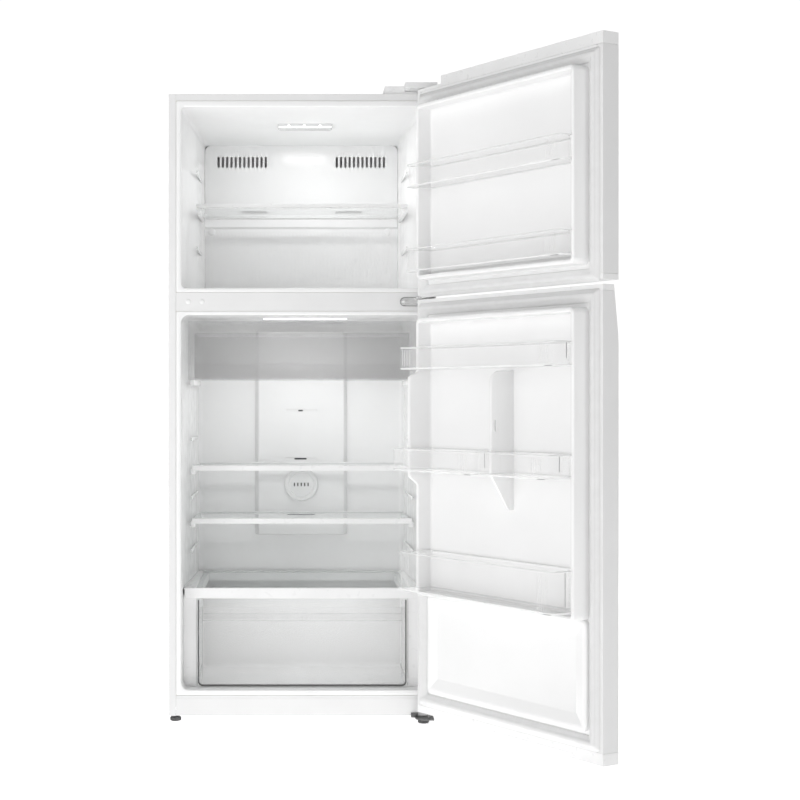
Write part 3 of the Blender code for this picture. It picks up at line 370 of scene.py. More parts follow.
def solid(name, bm, closed=True):
    """A mesh object; the faces of a closed one are turned outwards."""
    if closed:
        bmesh.ops.recalc_face_normals(bm, faces=bm.faces)
    mesh = bpy.data.meshes.new(name)
    bm.to_mesh(mesh)
    bm.free()
    return placed(name, mesh)


def applied(thing):
    """Fix a thing's modifiers in its mesh."""
    depsgraph = bpy.context.evaluated_depsgraph_get()
    mesh = bpy.data.meshes.new_from_object(thing.evaluated_get(depsgraph))
    thing.modifiers.clear()
    thing.data = mesh


def combined(thing, bm, operation):
    """Join a shape to a thing, or cut it away."""
    other = solid("operand", bm)
    step = thing.modifiers.new("combine", "BOOLEAN")
    step.operation = operation
    step.solver = "EXACT"
    step.object = other
    applied(thing)
    bpy.data.objects.remove(other, do_unlink=True)


def add_bevel(thing, width, segments=3):
    step = thing.modifiers.new("edges", "BEVEL")
    step.width = width
    step.segments = segments
    step.limit_method = "ANGLE"
    step.angle_limit = radians(35)
    thing.modifiers.new("normals", "WEIGHTED_NORMAL").keep_sharp = True


def piece(thing, look, body="cabinet", replaces=(), smooth=38.0, bevel=0.0):
    """Finish a thing drawn in its body's frame, and let it ride on that body."""
    mesh = thing.data
    mesh.materials.clear()
    mesh.materials.append(look)
    mesh.transform(place_of(body))
    mesh.shade_smooth()
    mesh.set_sharp_from_angle(angle=radians(smooth))
    if bevel > 0.0:
        add_bevel(thing, bevel)
    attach(thing, body)
    if replaces:
        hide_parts(*replaces)


@contextmanager
def drawn(name, look, body="cabinet", replaces=(), smooth=38.0, bevel=0.0):
    """A mesh to draw in, which becomes a piece afterwards."""
    bm = bmesh.new()
    yield bm
    piece(solid(name, bm), look, body, replaces, smooth, bevel)


# Nodes that keep their shape
KEPT = (
    (PAINT, 0.0004, "side_panel_left side_panel_right top_panel kick_panel mullion_plate "
                    "freezer_door_skin fridge_door_skin top_hinge_bracket"),
    (MOULDED, 0.0012, "freezer_door_top_cap freezer_door_bottom_cap fridge_door_top_cap "
                      "fridge_door_bottom_cap top_hinge_cover deodoriser_cap"),
    (MOULDED, 0.0008, "crisper_frame fridge_door_grip evaporator_fan"),
    (MOULDED, 0.0015, "freezer_shelf_trim upper_shelf_trim lower_shelf_trim"),
    (GLASS, 0.0006, "freezer_shelf_glass upper_shelf_glass lower_shelf_glass crisper_cover_glass"),
    (ZINC, 0.0004, "base_frame bay_cover rear_panel"),
    (PLATED, 0.0005, "middle_hinge"),
    (BLACKENED, 0.0005, "bottom_hinge"),
    (DARK, 0.0006, "fan_motor drip_tray cord_gland rear_roller_left rear_roller_right"),
    (ENAMEL, 0.002, "compressor"),
    (COPPER, 0.0002, "condenser"),
    (ALUMINIUM, 0.0005, "evaporator"),
    (FOAM, 0.002, "cabinet_insulation freezer_door_foam fridge_door_foam"),
)


def finish_nodes():
    """Weld the facets of the nodes, round their edges and give them their materials."""
    for look, width, names in KEPT:
        for name in names.split():
            thing = NODES[name]
            thing.modifiers.new("weld", "WELD").merge_threshold = 0.00001
            flat = thing.modifiers.new("flats", "DECIMATE")
            flat.decimate_type = "DISSOLVE"
            flat.angle_limit = radians(1)
            thing.data.shade_smooth()
            add_bevel(thing, width, 2)
            thing.material_slots[0].material = look


# Liners of the two compartments
MOUTH_HALF = 0.319
LINER_WALL = 0.002
FREEZER = {"taper": 0.0793, "floor": 1.143, "roof": 1.62, "drop": 0.035, "back": 0.545,
           "mouth": 0.01, "step": 0.0012, "node": "freezer_liner"}
FRIDGE = {"taper": 0.038, "floor": 0.0845, "roof": 1.072, "drop": 0.0, "back": 0.5,
          "mouth": 0.02, "step": 0.0, "node": "fridge_liner"}
HUMP_FRONT = 0.385
HUMP_TOP = 0.3
CORNER = 0.014
STEP_Y = 0.262


def liner_ring(room, y, floor, inset):
    """Section of a compartment at a depth, drawn in from its walls."""
    half = MOUTH_HALF - room["taper"] * y
    roof = room["roof"] - room["drop"] * y / room["back"]
    radius = max(room["mouth"], inset + 0.004)
    return raised(rounded(rectangle((-half, floor), (half, roof)), radius, inset, 6), "Y", y)


def liner_path(room, hump):
    """Depth, floor and inset of each section from the mouth to the back wall."""
    lip, bend = 0.0035, 0.008
    floor, back, narrow = room["floor"], room["back"], room["step"]
    path = [(lip * (1 - c), floor, lip * (s - 1)) for s, c in quarter()]
    if narrow > 0.0:
        path += [(STEP_Y - 0.003, floor, 0.0), (STEP_Y, floor, narrow)]
    if hump:
        path += [(0.2, floor, 0.0)]
        path += [(HUMP_FRONT - CORNER * (1 - s), floor + CORNER * (1 - c), 0.0)
                 for s, c in quarter()]
        path += [(HUMP_FRONT + bend * (1 - c), HUMP_TOP - bend * (1 - s), 0.0)
                 for s, c in quarter()]
        floor = HUMP_TOP
    return path + [(back - CORNER * (1 - s), floor, narrow + (CORNER - narrow) * (1 - c))
                   for s, c in quarter(5)]


def liner_shell(room, hump=False):
    """Thin tub with a flange, drawn as its inside and thickened outwards."""
    low, high = span(room["node"])
    flange = rectangle((low.x, low.z), (high.x, high.z))
    edge = ((0.0, 0.003), (0.0002, 0.001), (0.0008, 0.0002), (0.0016, 0.0))
    rings = layers(flange, 0.004, "Y", edge, 6)
    rings += [liner_ring(room, *spot) for spot in liner_path(room, hump)]
    bm = bmesh.new()
    loft(bm, rings, start_cap=False)
    bm.normal_update()
    bm.faces.ensure_lookup_table()
    if bm.faces[-1].normal.y > 0:
        bmesh.ops.reverse_faces(bm, faces=bm.faces)
    thing = solid(room["node"] + "_shell", bm, closed=False)
    wall = thing.modifiers.new("wall", "SOLIDIFY")
    wall.thickness = LINER_WALL
    wall.offset = -1.0
    applied(thing)
    return thing


def wall_rail(bm, room, inner, front, back, low, high):
    """A pair of moulded rails, one on each side wall."""
    outer = MOUTH_HALF - room["taper"] * back + 0.001
    for side in (-1, 1):
        block(bm, (side * inner, front, low), (side * outer, back, high), 0.0025)


def freezer_liner():
    thing = liner_shell(FREEZER)
    bm = bmesh.new()
    wall_rail(bm, FREEZER, 0.2785, 0.166, 0.4, 1.358, 1.374)
    wall_rail(bm, FREEZER, 0.285, 0.19, 0.38, 1.26, 1.27)
    wall_rail(bm, FREEZER, 0.285, 0.19, 0.38, 1.47, 1.48)
    combined(thing, bm, "UNION")
    piece(thing, LINER, replaces=["freezer_liner"])


def fridge_liner():
    thing = liner_shell(FRIDGE, True)
    bm = bmesh.new()
    for low in (0.645, 0.502):
        wall_rail(bm, FRIDGE, 0.2902, 0.14, 0.45, low, low + 0.0158)
    for low in (0.735, 0.575, 0.43):
        wall_rail(bm, FRIDGE, 0.299, 0.16, 0.43, low, low + 0.01)
    wall_rail(bm, FRIDGE, 0.2922, 0.13, 0.435, 0.888, 0.9035)
    wall_rail(bm, FRIDGE, 0.281, 0.052, 0.362, FRIDGE["floor"] + 0.004, FRIDGE["floor"] + 0.0155)
    combined(thing, bm, "UNION")
    piece(thing, LINER, replaces=["fridge_liner"])


# Freezer fittings
SLOT_COUNT = 12
SLOT_PITCH = 0.0125
SLOT_START = 0.1035


def capsule(bm, centre, width, height, axis, low, high):
    """A straight slot with round ends, standing across an axis."""
    across, up = width / 2, height / 2
    outline = rectangle((centre[0] - across, centre[1] - up), (centre[0] + across, centre[1] + up))
    prism(bm, rounded(outline, min(across, up) * 0.98, 0.0, 4), axis, low, high)


def evaporator_cover():
    """Back panel of the freezer, with air slots and a set-back lower part."""
    low, high = span("evaporator_cover")
    low.x, high.x, high.z = low.x - 0.0016, high.x + 0.0016, high.z + 0.0036
    step, front, behind = 1.3525, low.y + 0.0025, low.y + 0.006
    profile = [(low.y, step), (low.y, high.z), (front, high.z), (front, step + 0.004),
               (behind + 0.0025, step - 0.002), (behind + 0.0025, low.z), (behind, low.z),
               (behind, step - 0.006)]
    bm = bmesh.new()
    prism(bm, profile, "X", low.x, high.x)
    thing = solid("evaporator_cover_panel", bm)
    bm = bmesh.new()
    plate = rectangle((low.x, low.z), (high.x, high.z))
    prism(bm, rounded(plate, 0.018, 0.0, 8), "Y", low.y - 0.01, high.y + 0.01)
    combined(thing, bm, "INTERSECT")
    bm = bmesh.new()
    for side in (-1, 1):
        for index in range(SLOT_COUNT):
            x = side * (SLOT_START + SLOT_PITCH * index)
            capsule(bm, (x, 1.541), 0.0068, 0.032, "Y", low.y - 0.01, low.y + 0.02)
        capsule(bm, (side * 0.1375, 1.3943), 0.075, 0.0085, "Y", low.y - 0.01, low.y + 0.02)
    combined(thing, bm, "DIFFERENCE")
    piece(thing, LINER, replaces=["evaporator_cover"], smooth=1.0)
    with drawn("evaporator_cover_grilles", MOULDED) as bm:
        for x in (-0.1375, 0.1375):
            capsule(bm, (x, 1.3943), 0.0765, 0.01, "Y", low.y + 0.0062, low.y + 0.0072)


def ribbed_rows(x_span, levels, front_y, pitch, depth, ribs_z, ribs_half=1.0):
    """Rows of points for a plate, with upright ribs between two heights."""
    per_rib = 4
    count = int(round((x_span[1] - x_span[0]) / pitch)) * per_rib
    rows = []
    for push, z in levels:
        row = []
        for index in range(count + 1):
            x = x_span[0] + (x_span[1] - x_span[0]) * index / count
            ribbed = ribs_z[0] - 0.0001 < z < ribs_z[1] + 0.0001 and abs(x) < ribs_half
            wave = depth * (1 - cos(2 * pi * index / per_rib)) / 2 if ribbed else 0.0
            row.append(Vector((x, front_y + push + wave, z)))
        rows.append(row)
    return rows


def cover_ribs():
    """Upright ribs of the cover's lower part."""
    front = span("evaporator_cover")[0].y + 0.0056
    levels = ((0.0004, 1.162), (0.0, 1.164), (0.0, 1.332), (0.0004, 1.334))
    rows = ribbed_rows((-0.262, 0.262), levels, front, 0.0105, 0.0004, (1.164, 1.332))
    with drawn("evaporator_cover_ribs", LINER) as bm:
        grid(bm, rows, front + 0.0006)


def round_caps():
    """Caps over the cover's two screws and plugs on the mullion."""
    cover = span("evaporator_cover")[0].y + 0.006
    with drawn("cover_screw_caps", MOULDED) as bm:
        for x in (-0.261, 0.2515):
            lathe(bm, [(0.0105, -0.001), (0.0105, 0.0012), (0.0095, 0.002), (0.003, 0.0022)],
                  (x, cover, 1.338), "Y")
    with drawn("mullion_plugs", MOULDED) as bm:
        for x in (-0.3, -0.264):
            lathe(bm, [(0.0065, -0.0008), (0.0065, 0.0006), (0.0055, 0.0013), (0.002, 0.0016)],
                  (x, 0.0, 1.107), "Y")


def freezer_lamp():
    """Lens under the ceiling with three bright diodes."""
    low, high = span("freezer_lamp")
    middle = (low + high) / 2 + Vector((0.0, 0.0, 0.0048))
    slope = Matrix.Rotation(-FREEZER["drop"] / FREEZER["back"], 4, "X")
    flat = Vector((middle.x, middle.y, 0.0))
    tilt = Matrix.Translation(middle) @ slope @ Matrix.Translation(-flat)
    levels = ((0.0, 0.0), (0.0, -0.006), (0.0015, -0.0085), (0.005, -0.0098))
    rings = layers(rectangle(low, high), 0.008, "Z", levels)
    with drawn("freezer_lamp_lens", LENS, replaces=["freezer_lamp"]) as bm:
        loft(bm, [[tilt @ point for point in ring] for ring in rings])
    with drawn("freezer_lamp_diodes", CHIP) as bm:
        for x in (-0.0433, 0.0, 0.0433):
            lathe(bm, [(0.003, -0.001), (0.0034, 0.0), (0.003, 0.001)],
                  (middle.x - 0.002 + x, low.y - 0.0002, high.z - 0.0062), "Y", 20)
    with drawn("freezer_lamp_edge", CHIP) as bm:
        block(bm, (low.x + 0.002, low.y - 0.0004, high.z - 0.0098),
              (high.x - 0.002, low.y + 0.0004, high.z - 0.0082), 0.0003)


def shelf_lugs(low, high):
    """Thick back bar of the freezer shelf, with a round lug at each end."""
    half = 0.2768
    with drawn("freezer_shelf_bar", MOULDED, "freezer_shelf") as bm:
        block(bm, (-half, high.y - 0.0005, low.z - 0.0055),
              (half, high.y + 0.0045, high.z + 0.0025), 0.0014)
        for x in (-half - 0.0006, half + 0.0006):
            lathe(bm, [(0.004, -0.003), (0.005, -0.0022), (0.005, 0.0022), (0.004, 0.003)],
                  (x, high.y + 0.003, low.z + 0.0052), "X", 20)


def shelf_details(name):
    """Back trim and corner clips of a sliding shelf."""
    low, high = span(name + "_glass")
    trim_low, trim_high = span(name + "_trim")
    inside = 0.009
    with drawn(name + "_back_trim", MOULDED, name) as bm:
        block(bm, (low.x + inside, high.y - 0.006, low.z - 0.0022),
              (high.x - inside, high.y + 0.0024, low.z - 0.0002), 0.0008)
        block(bm, (low.x + inside, high.y + 0.0003, low.z - 0.0021),
              (high.x - inside, high.y + 0.0024, high.z + 0.001), 0.0006)
        block(bm, (low.x, high.y + 0.0002, low.z + 0.0004),
              (high.x, high.y + 0.0025, high.z + 0.002), 0.0008)
    if name == "freezer_shelf":
        shelf_lugs(low, high)
    with drawn(name + "_clips", MOULDED, name) as bm:
        for side, edge in ((-1, trim_low.x), (1, trim_high.x)):
            block(bm, (edge - side * 0.0165, trim_high.y - 0.001, trim_low.z + 0.0006),
                  (edge - side * 0.0006, trim_high.y + 0.02, low.z - 0.0003), 0.0012)


# Fridge fittings
def duct_cover():
    """Air duct on the back wall, with soft long edges and three outlets."""
    low, high = span("duct_cover")
    wide, back = 0.01, high.y
    plan = [(low.x, back), (low.x + wide * 0.5, low.y + 0.01), (low.x + wide, low.y),
            (high.x - wide, low.y), (high.x - wide * 0.5, low.y + 0.01), (high.x, back)]
    bm = bmesh.new()
    rings = []
    for inset, z in ((0.004, low.z), (0.001, low.z + 0.001), (0.0, low.z + 0.004),
                     (0.0, high.z - 0.004), (0.001, high.z - 0.001), (0.004, high.z)):
        outline = rounded(plan, [0.0, 0.006, 0.006, 0.006, 0.006, 0.0], 0.0, 5)
        shifted = [(a * (1 - inset / 0.13), max(b, low.y + inset)) for a, b in outline]
        rings.append(raised(shifted, "Z", z))
    loft(bm, rings)
    thing = solid("duct_cover_shell", bm)
    inner = [(low.x + 0.012, back + 0.01), (low.x + 0.013, low.y + 0.0025),
             (high.x - 0.013, low.y + 0.0025), (high.x - 0.012, back + 0.01)]
    bm = bmesh.new()
    prism(bm, inner, "Z", low.z + 0.004, high.z - 0.004)
    combined(thing, bm, "DIFFERENCE")
    bm = bmesh.new()
    for z in (0.817, 0.676, 0.513):
        capsule(bm, (0.0, z), 0.092, 0.007, "Y", low.y - 0.01, low.y + 0.01)
    combined(thing, bm, "DIFFERENCE")
    piece(thing, LINER, replaces=["duct_cover"], bevel=0.0008)


def duct_outlets():
    """Pale inserts in the duct's outlets, with dark shapes in their openings as painted shade."""
    low = span("duct_cover")[0]
    bm = bmesh.new()
    dark = bmesh.new()
    outlets = ((0.817, 0.007, -0.002), (0.676, 0.018, -0.002), (0.513, 0.04, 0.0))
    for z, open_half, centre in outlets:
        capsule(bm, (0.0, z), 0.0915, 0.0066, "Y", low.y + 0.0008, low.y + 0.003)
        height = 0.0046 if open_half < 0.03 else 0.0026
        # Painted shade: dark shape standing in for the shade inside each opening
        capsule(dark, (centre, z), 2 * open_half, height, "Y", low.y + 0.0003, low.y + 0.001)
    piece(solid("duct_outlet_inserts", bm), MOULDED)
    piece(solid("duct_outlet_opening_shade", dark), DARK)


def deodoriser_slots():
    """Row of short slots in the middle of the round cap."""
    low, high = span("deodoriser_cap")
    middle = (low + high) / 2
    with drawn("deodoriser_slots", DARK) as bm:
        for index in range(5):
            x = -0.02 + 0.01 * index
            capsule(bm, (x, middle.z), 0.0034, 0.0105, "Y", low.y + 0.0004, low.y + 0.0016)


def fridge_lamp():
    low, high = span("fridge_lamp")
    levels = stacked((high.z, (0.0, 0.0), (0.0, -0.002), (0.001, -0.003), (0.004, -0.0034)))
    with drawn("fridge_lamp_lens", LENS, replaces=["fridge_lamp"]) as bm:
        loft(bm, layers(rectangle(low, high), 0.008, "Z", levels))
    with drawn("fridge_lamp_edge", CHIP) as bm:
        block(bm, (low.x + 0.002, low.y - 0.0005, high.z - 0.003),
              (high.x - 0.002, low.y + 0.0004, high.z - 0.0008), 0.0003)


def tub_rings(plan, radius, z_span):
    """Rings of an open tub, from under its floor over its rim to its inside floor."""
    foot, wall = 0.003, 0.0025
    levels = stacked(
        (z_span[0], (foot, 0.0), (foot * 0.3, foot * 0.3), (0.0, foot)),
        (z_span[1], (0.0, -0.0012), (wall * 0.2, -0.0003), (wall * 0.5, 0.0), (wall * 0.8, -0.0003),
         (wall, -0.0012)),
        (z_span[0] + wall, (wall, foot), (wall + foot * 0.3, foot * 0.3), (wall + foot, 0.0)))
    return layers(plan, radius, "Z", levels, 6)


CHILLER_BAND = 0.945
RECESS_Z = 0.262


def chiller_drawer():
    """Frosted drawer: a tub behind a ribbed front plate."""
    low, high = span("chiller_drawer")
    plan = rectangle((-0.292, low.y + 0.004), (0.292, high.y))
    with drawn("chiller_tub", FROSTED, "chiller_drawer") as bm:
        loft(bm, tub_rings(plan, 0.01, (low.z + 0.002, 1.03)))
    with drawn("chiller_band", FROSTED, "chiller_drawer") as bm:
        block(bm, (low.x + 0.017, low.y + 0.008, low.z + 0.004),
              (high.x - 0.017, low.y + 0.0096, CHILLER_BAND), 0.0004)
    levels = stacked(
        (low.z, (0.001, 0.0), (0.0003, 0.0006), (0.0, 0.002), (0.0, 0.005), (0.0007, 0.0056)),
        (CHILLER_BAND, (0.0007, -0.005), (0.0, -0.0035), (0.0, -0.0005), (0.0008, 0.001),
         (0.0005, 0.002)),
        (high.z, (0.0005, -0.004), (0.0002, -0.003), (0.0002, -0.0008), (0.001, 0.0)))
    ribs_z = (CHILLER_BAND + 0.002, high.z - 0.004)
    rows = ribbed_rows((low.x, high.x), levels, low.y, 0.0057, 0.0016, ribs_z)
    with drawn("chiller_front", FROSTED, "chiller_drawer", ["chiller_drawer"]) as bm:
        grid(bm, rows, low.y + 0.0034)


def crisper_drawer():
    """Clear drawer: a tub, and a front sheet with fine ribs and a finger recess."""
    low, high = span("crisper_drawer")
    with drawn("crisper_tub", CLEAR, "crisper_drawer") as bm:
        plan = rectangle((low.x + 0.002, low.y + 0.0035), (high.x - 0.002, high.y))
        loft(bm, tub_rings(plan, 0.012, (low.z + 0.001, high.z - 0.022)))
    levels = stacked(
        (low.z, (0.001, 0.002), (0.0, 0.003), (0.0, 0.012), (0.0006, 0.0135)),
        (RECESS_Z, (0.0006, -0.0015), (0.0, 0.0), (0.0004, 0.004), (0.017, 0.016)),
        (high.z, (0.018, -0.024), (0.0004, -0.021), (0.0, -0.02), (0.0, -0.001), (0.0008, 0.0)))
    rows = ribbed_rows((low.x + 0.0022, high.x - 0.0022), levels, low.y, 0.0046, 0.0006,
                       (low.z + 0.0135, RECESS_Z - 0.0015), 0.262)
    wall = Vector((0.0, 0.0026, 0.0))
    with drawn("crisper_front", CLEAR, "crisper_drawer", ["crisper_drawer"]) as bm:
        loft(bm, [row + [point + wall for point in reversed(row)] for row in rows])


def crisper_fillers():
    """White strips that close the gap between the crisper's frame and the liner's walls."""
    with drawn("crisper_fillers", MOULDED) as bm:
        for side in (-1, 1):
            for low, high, back in ((FRIDGE["floor"] + 0.001, 0.344, 0.08), (0.331, 0.347, 0.47)):
                plan = []
                for y, gap in ((0.0515, 0.0052), (0.0515, 0.0004), (back, 0.0004), (back, 0.0052)):
                    plan.append((side * (MOUTH_HALF - FRIDGE["taper"] * y - gap), y))
                prism(bm, plan[::side], "Z", low, high)
            block(bm, (side * 0.2812, 0.05, FRIDGE["floor"] + 0.0008), (side * 0.314, 0.052, 0.108),
                  0.0004)


def crisper_gap_shade():
    """Dark strip round the lower edge of the crisper's front: painted shade standing in for the
    shadow in the gap round the drawer.
    """
    low, high = span("crisper_drawer")
    thick, top = 0.0027, high.z - 0.004
    outline = [
        (low.x, top), (low.x, low.z), (high.x, low.z), (high.x, top), (high.x - thick, top),
        (high.x - thick, low.z + thick), (low.x + thick, low.z + thick), (low.x + thick, top),
    ]
    radii = [0.0004, 0.012, 0.012, 0.0004, 0.0004, 0.01, 0.01, 0.0004]
    # Painted shade: dark strip where the gap round the drawer falls in shadow
    with drawn("crisper_gap_shade_strip", DARK, "crisper_drawer") as bm:
        prism(bm, rounded(outline, radii, 0.0, 6), "Y", low.y + 0.0005, low.y + 0.012)
    # Painted shade: grey lines standing in for the darker look of the front's moulded recess edges
    with drawn("crisper_front_edge_shade", GREY_EDGE_SHADE, "crisper_drawer") as bm:
        for z, half in ((0.2785, 0.262), (0.26, 0.266)):
            block(bm, (-half, low.y + 0.0006, z), (half, low.y + 0.0014, z + 0.0011))
        for x in (-0.2665, 0.265):
            block(bm, (x, low.y + 0.0006, 0.11), (x + 0.0012, low.y + 0.0014, 0.3))


# Doors, drawn shut
DOOR_IN = -0.013
RIDGE_X = (-0.308, 0.297)
RIDGE_W = 0.048
TALL_W = 0.075
PAN_W = 0.007
TALL_Z = (0.655, 0.905)
FREEZER_RIDGE_Z = (1.156, 1.61)
FRIDGE_RIDGE_Z = (0.345, 1.06)
LOWER_PANEL_Z = (0.092, 0.348)


def liner_plate(node):
    """Flat flange of a door liner, with softened edges."""
    low, high = span(node)
    levels = [(0.0005, low.y), (0.0, low.y + 0.0005), (0.0, DOOR_IN - 0.0005), (0.0005, DOOR_IN)]
    bm = bmesh.new()
    loft(bm, layers(rectangle((low.x, low.z), (high.x, high.z)), 0.004, "Y", levels))
    return solid(node + "_panel", bm)


def smooth_step(value, low, high):
    share = min(max((value - low) / (high - low), 0.0), 1.0)
    return share * share * (3 - 2 * share)


def ridge_height(z):
    """Height of the fridge door's rim: taller at the hinge end of the middle racks."""
    rise = smooth_step(z, TALL_Z[0] - 0.028, TALL_Z[0])
    fall = smooth_step(z, TALL_Z[1], TALL_Z[1] + 0.018)
    return RIDGE_W + (TALL_W - RIDGE_W) * (rise - fall)


def side_stops():
    """Heights at which the fridge door's rim is sampled along its sides."""
    lower = [TALL_Z[0] - 0.03 + 0.004 * step for step in range(9)]
    upper = [TALL_Z[1] - 0.002 + 0.003 * step for step in range(8)]
    return lower + upper


def ridge_ring(z_span, stops, inset, level, height):
    """One ring of a door liner's rim, following the rim's height along its hinge side."""
    (left, right), (bottom, top) = RIDGE_X, z_span
    outline = [(left, bottom), (right, bottom), *((right, z) for z in stops), (right, top),
               (left, top), *((left, z) for z in reversed(stops))]
    radii = ([0.016, 0.016] + [0.0] * len(stops)) * 2
    ring = []
    for x, z in rounded(outline, radii, inset, 6):
        lift = level
        if level > PAN_W and x > 0.0:
            lift = PAN_W + (level - PAN_W) * (height(z) - PAN_W) / (RIDGE_W - PAN_W)
        ring.append(Vector((x, DOOR_IN + lift, z)))
    return ring


def ridge_profile():
    """Inset and height across the rim, from the flange over the crest down to the pan."""
    crest, land, foot = 0.0045, 0.0125, 0.006
    profile = [(0.0, -0.001), (0.0, 0.0005), (0.0003, 0.003)]
    profile += [(0.0012 + crest * (1 - c), RIDGE_W - crest * (1 - s)) for s, c in quarter()]
    profile += [(land - crest * (1 - s), RIDGE_W - crest * (1 - c)) for s, c in quarter()]
    profile += [(land + 0.0008 + foot * (1 - c), PAN_W + foot * (1 - s)) for s, c in quarter()]
    return profile


def raised_rim(z_span, stops=(), height=lambda z: RIDGE_W):
    bm = bmesh.new()
    loft(bm, [ridge_ring(z_span, stops, inset, level, height) for inset, level in ridge_profile()])
    return bm


def lower_panel():
    """Shallow framed panel under the fridge door's rim."""
    (left, right), (bottom, top) = RIDGE_X, LOWER_PANEL_Z
    profile = stacked((DOOR_IN, (0.0, -0.001), (0.0, 0.004), (0.0005, 0.009), (0.003, 0.0115),
                       (0.006, 0.012), (0.012, 0.012), (0.016, 0.0108), (0.036, 0.0062),
                       (0.04, 0.005)))
    bm = bmesh.new()
    loft(bm, layers(rectangle((left, bottom), (right, top)), 0.016, "Y", profile, 6))
    return bm


def fin(thing):
    """Upright divider between the middle racks, with a slot near its edge."""
    left, right = -0.048, -0.038
    outline = [(DOOR_IN + 0.004, 0.583), (DOOR_IN + 0.022, 0.583), (DOOR_IN + TALL_W, 0.668),
               (DOOR_IN + TALL_W, 0.918), (DOOR_IN + 0.004, 0.918)]
    levels = stacked((left, (0.002, 0.0), (0.0006, 0.0006), (0.0, 0.002)),
                     (right, (0.0, -0.002), (0.0006, -0.0006), (0.002, 0.0)))
    bm = bmesh.new()
    loft(bm, layers(outline, [0.002, 0.006, 0.012, 0.028, 0.004], "X", levels, 6))
    combined(thing, bm, "UNION")
    bm = bmesh.new()
    capsule(bm, (DOOR_IN + 0.064, 0.786), 0.0035, 0.028, "X", left - 0.01, right + 0.01)
    combined(thing, bm, "DIFFERENCE")


def freezer_door_liner():
    thing = liner_plate("freezer_door_liner")
    combined(thing, raised_rim(FREEZER_RIDGE_Z), "UNION")
    piece(thing, LINER, "freezer_door", ["freezer_door_liner"])


def fridge_door_liner():
    thing = liner_plate("fridge_door_liner")
    combined(thing, raised_rim(FRIDGE_RIDGE_Z, side_stops(), ridge_height), "UNION")
    combined(thing, lower_panel(), "UNION")
    fin(thing)
    piece(thing, LINER, "fridge_door", ["fridge_door_liner"])


# Distance from the outer edge and share of the thickness, round the seal's section
GASKET_SECTION = (
    (-0.008, 0.0), (-0.0078, 0.06), (-0.002, 0.4), (0.0006, 0.6), (0.0016, 0.8), (0.003, 0.9),
    (0.005, 0.94), (0.009, 0.94), (0.0115, 0.86), (0.0135, 0.7), (0.0165, 0.56), (0.0215, 0.42),
    (0.024, 0.16), (0.0242, 0.0),
)
HINGE_SIDE_WIDENING = 1.21


def gasket(node, body):
    """Magnetic seal: a magnet strip at its edge and a soft skirt towards the door's rim."""
    low, high = span(node)
    rings = []
    for inset, share in GASKET_SECTION:
        hinge_inset = inset * (HINGE_SIDE_WIDENING if inset > 0.012 else 1.0)
        outline = rectangle((low.x + inset, low.z + inset), (high.x - hinge_inset, high.z - inset))
        rings.append(raised(rounded(outline, 0.005, 0.0, 3), "Y", low.y + (high.y - low.y) * share))
    with drawn(node + "_bellows", VINYL, body, [node], smooth=50.0) as bm:
        loft(bm, rings, round_trip=True)


RACK_WALL = 0.0022


def rack(name, free_step=0.0095, hinge_step=0.0155, rim=RIDGE_W):
    """Clear door rack; its back part is narrower by a step at each end, up to the door's rim."""
    low, high = span(name)
    shoulder = DOOR_IN + rim + 0.0015
    plan = [
        (low.x + free_step, low.y), (high.x - hinge_step, low.y), (high.x - hinge_step, shoulder),
        (high.x, shoulder), (high.x, high.y), (low.x, high.y), (low.x, shoulder),
        (low.x + free_step, shoulder),
    ]
    inner, inner_hinge = (min(step, 0.002) / 2 for step in (free_step, hinge_step))
    radii = [0.006, 0.006, inner_hinge, inner_hinge, 0.013, 0.013, inner, inner]
    grooves = [low.z + (high.z - low.z) * share for share in (0.3, 0.62)]
    levels = stacked(
        (low.z, (0.004, 0.0), (0.0012, 0.001), (0.0003, 0.0025), (0.0, 0.0045)),
        *((z, (0.0, -0.0012), (0.0006, -0.0006), (0.0006, 0.0006), (0.0, 0.0012)) for z in grooves),
        (high.z, (0.0, -0.006), (0.0004, -0.0054), (0.0004, -0.0034), (0.0, -0.0028), (0.0, -0.001),
         (0.0006, -0.0002), (0.0011, 0.0), (0.0016, -0.0002), (0.0022, -0.001)),
        (low.z + RACK_WALL, (0.0022, 0.0045), (0.0025, 0.0025), (0.0034, 0.001), (0.0062, 0.0)))
    with drawn(name + "_tray", CLEAR, name, [name], smooth=30.0) as bm:
        loft(bm, layers(plan, radii, "Z", levels))
    rack_edges(name, plan, radii, low, high)


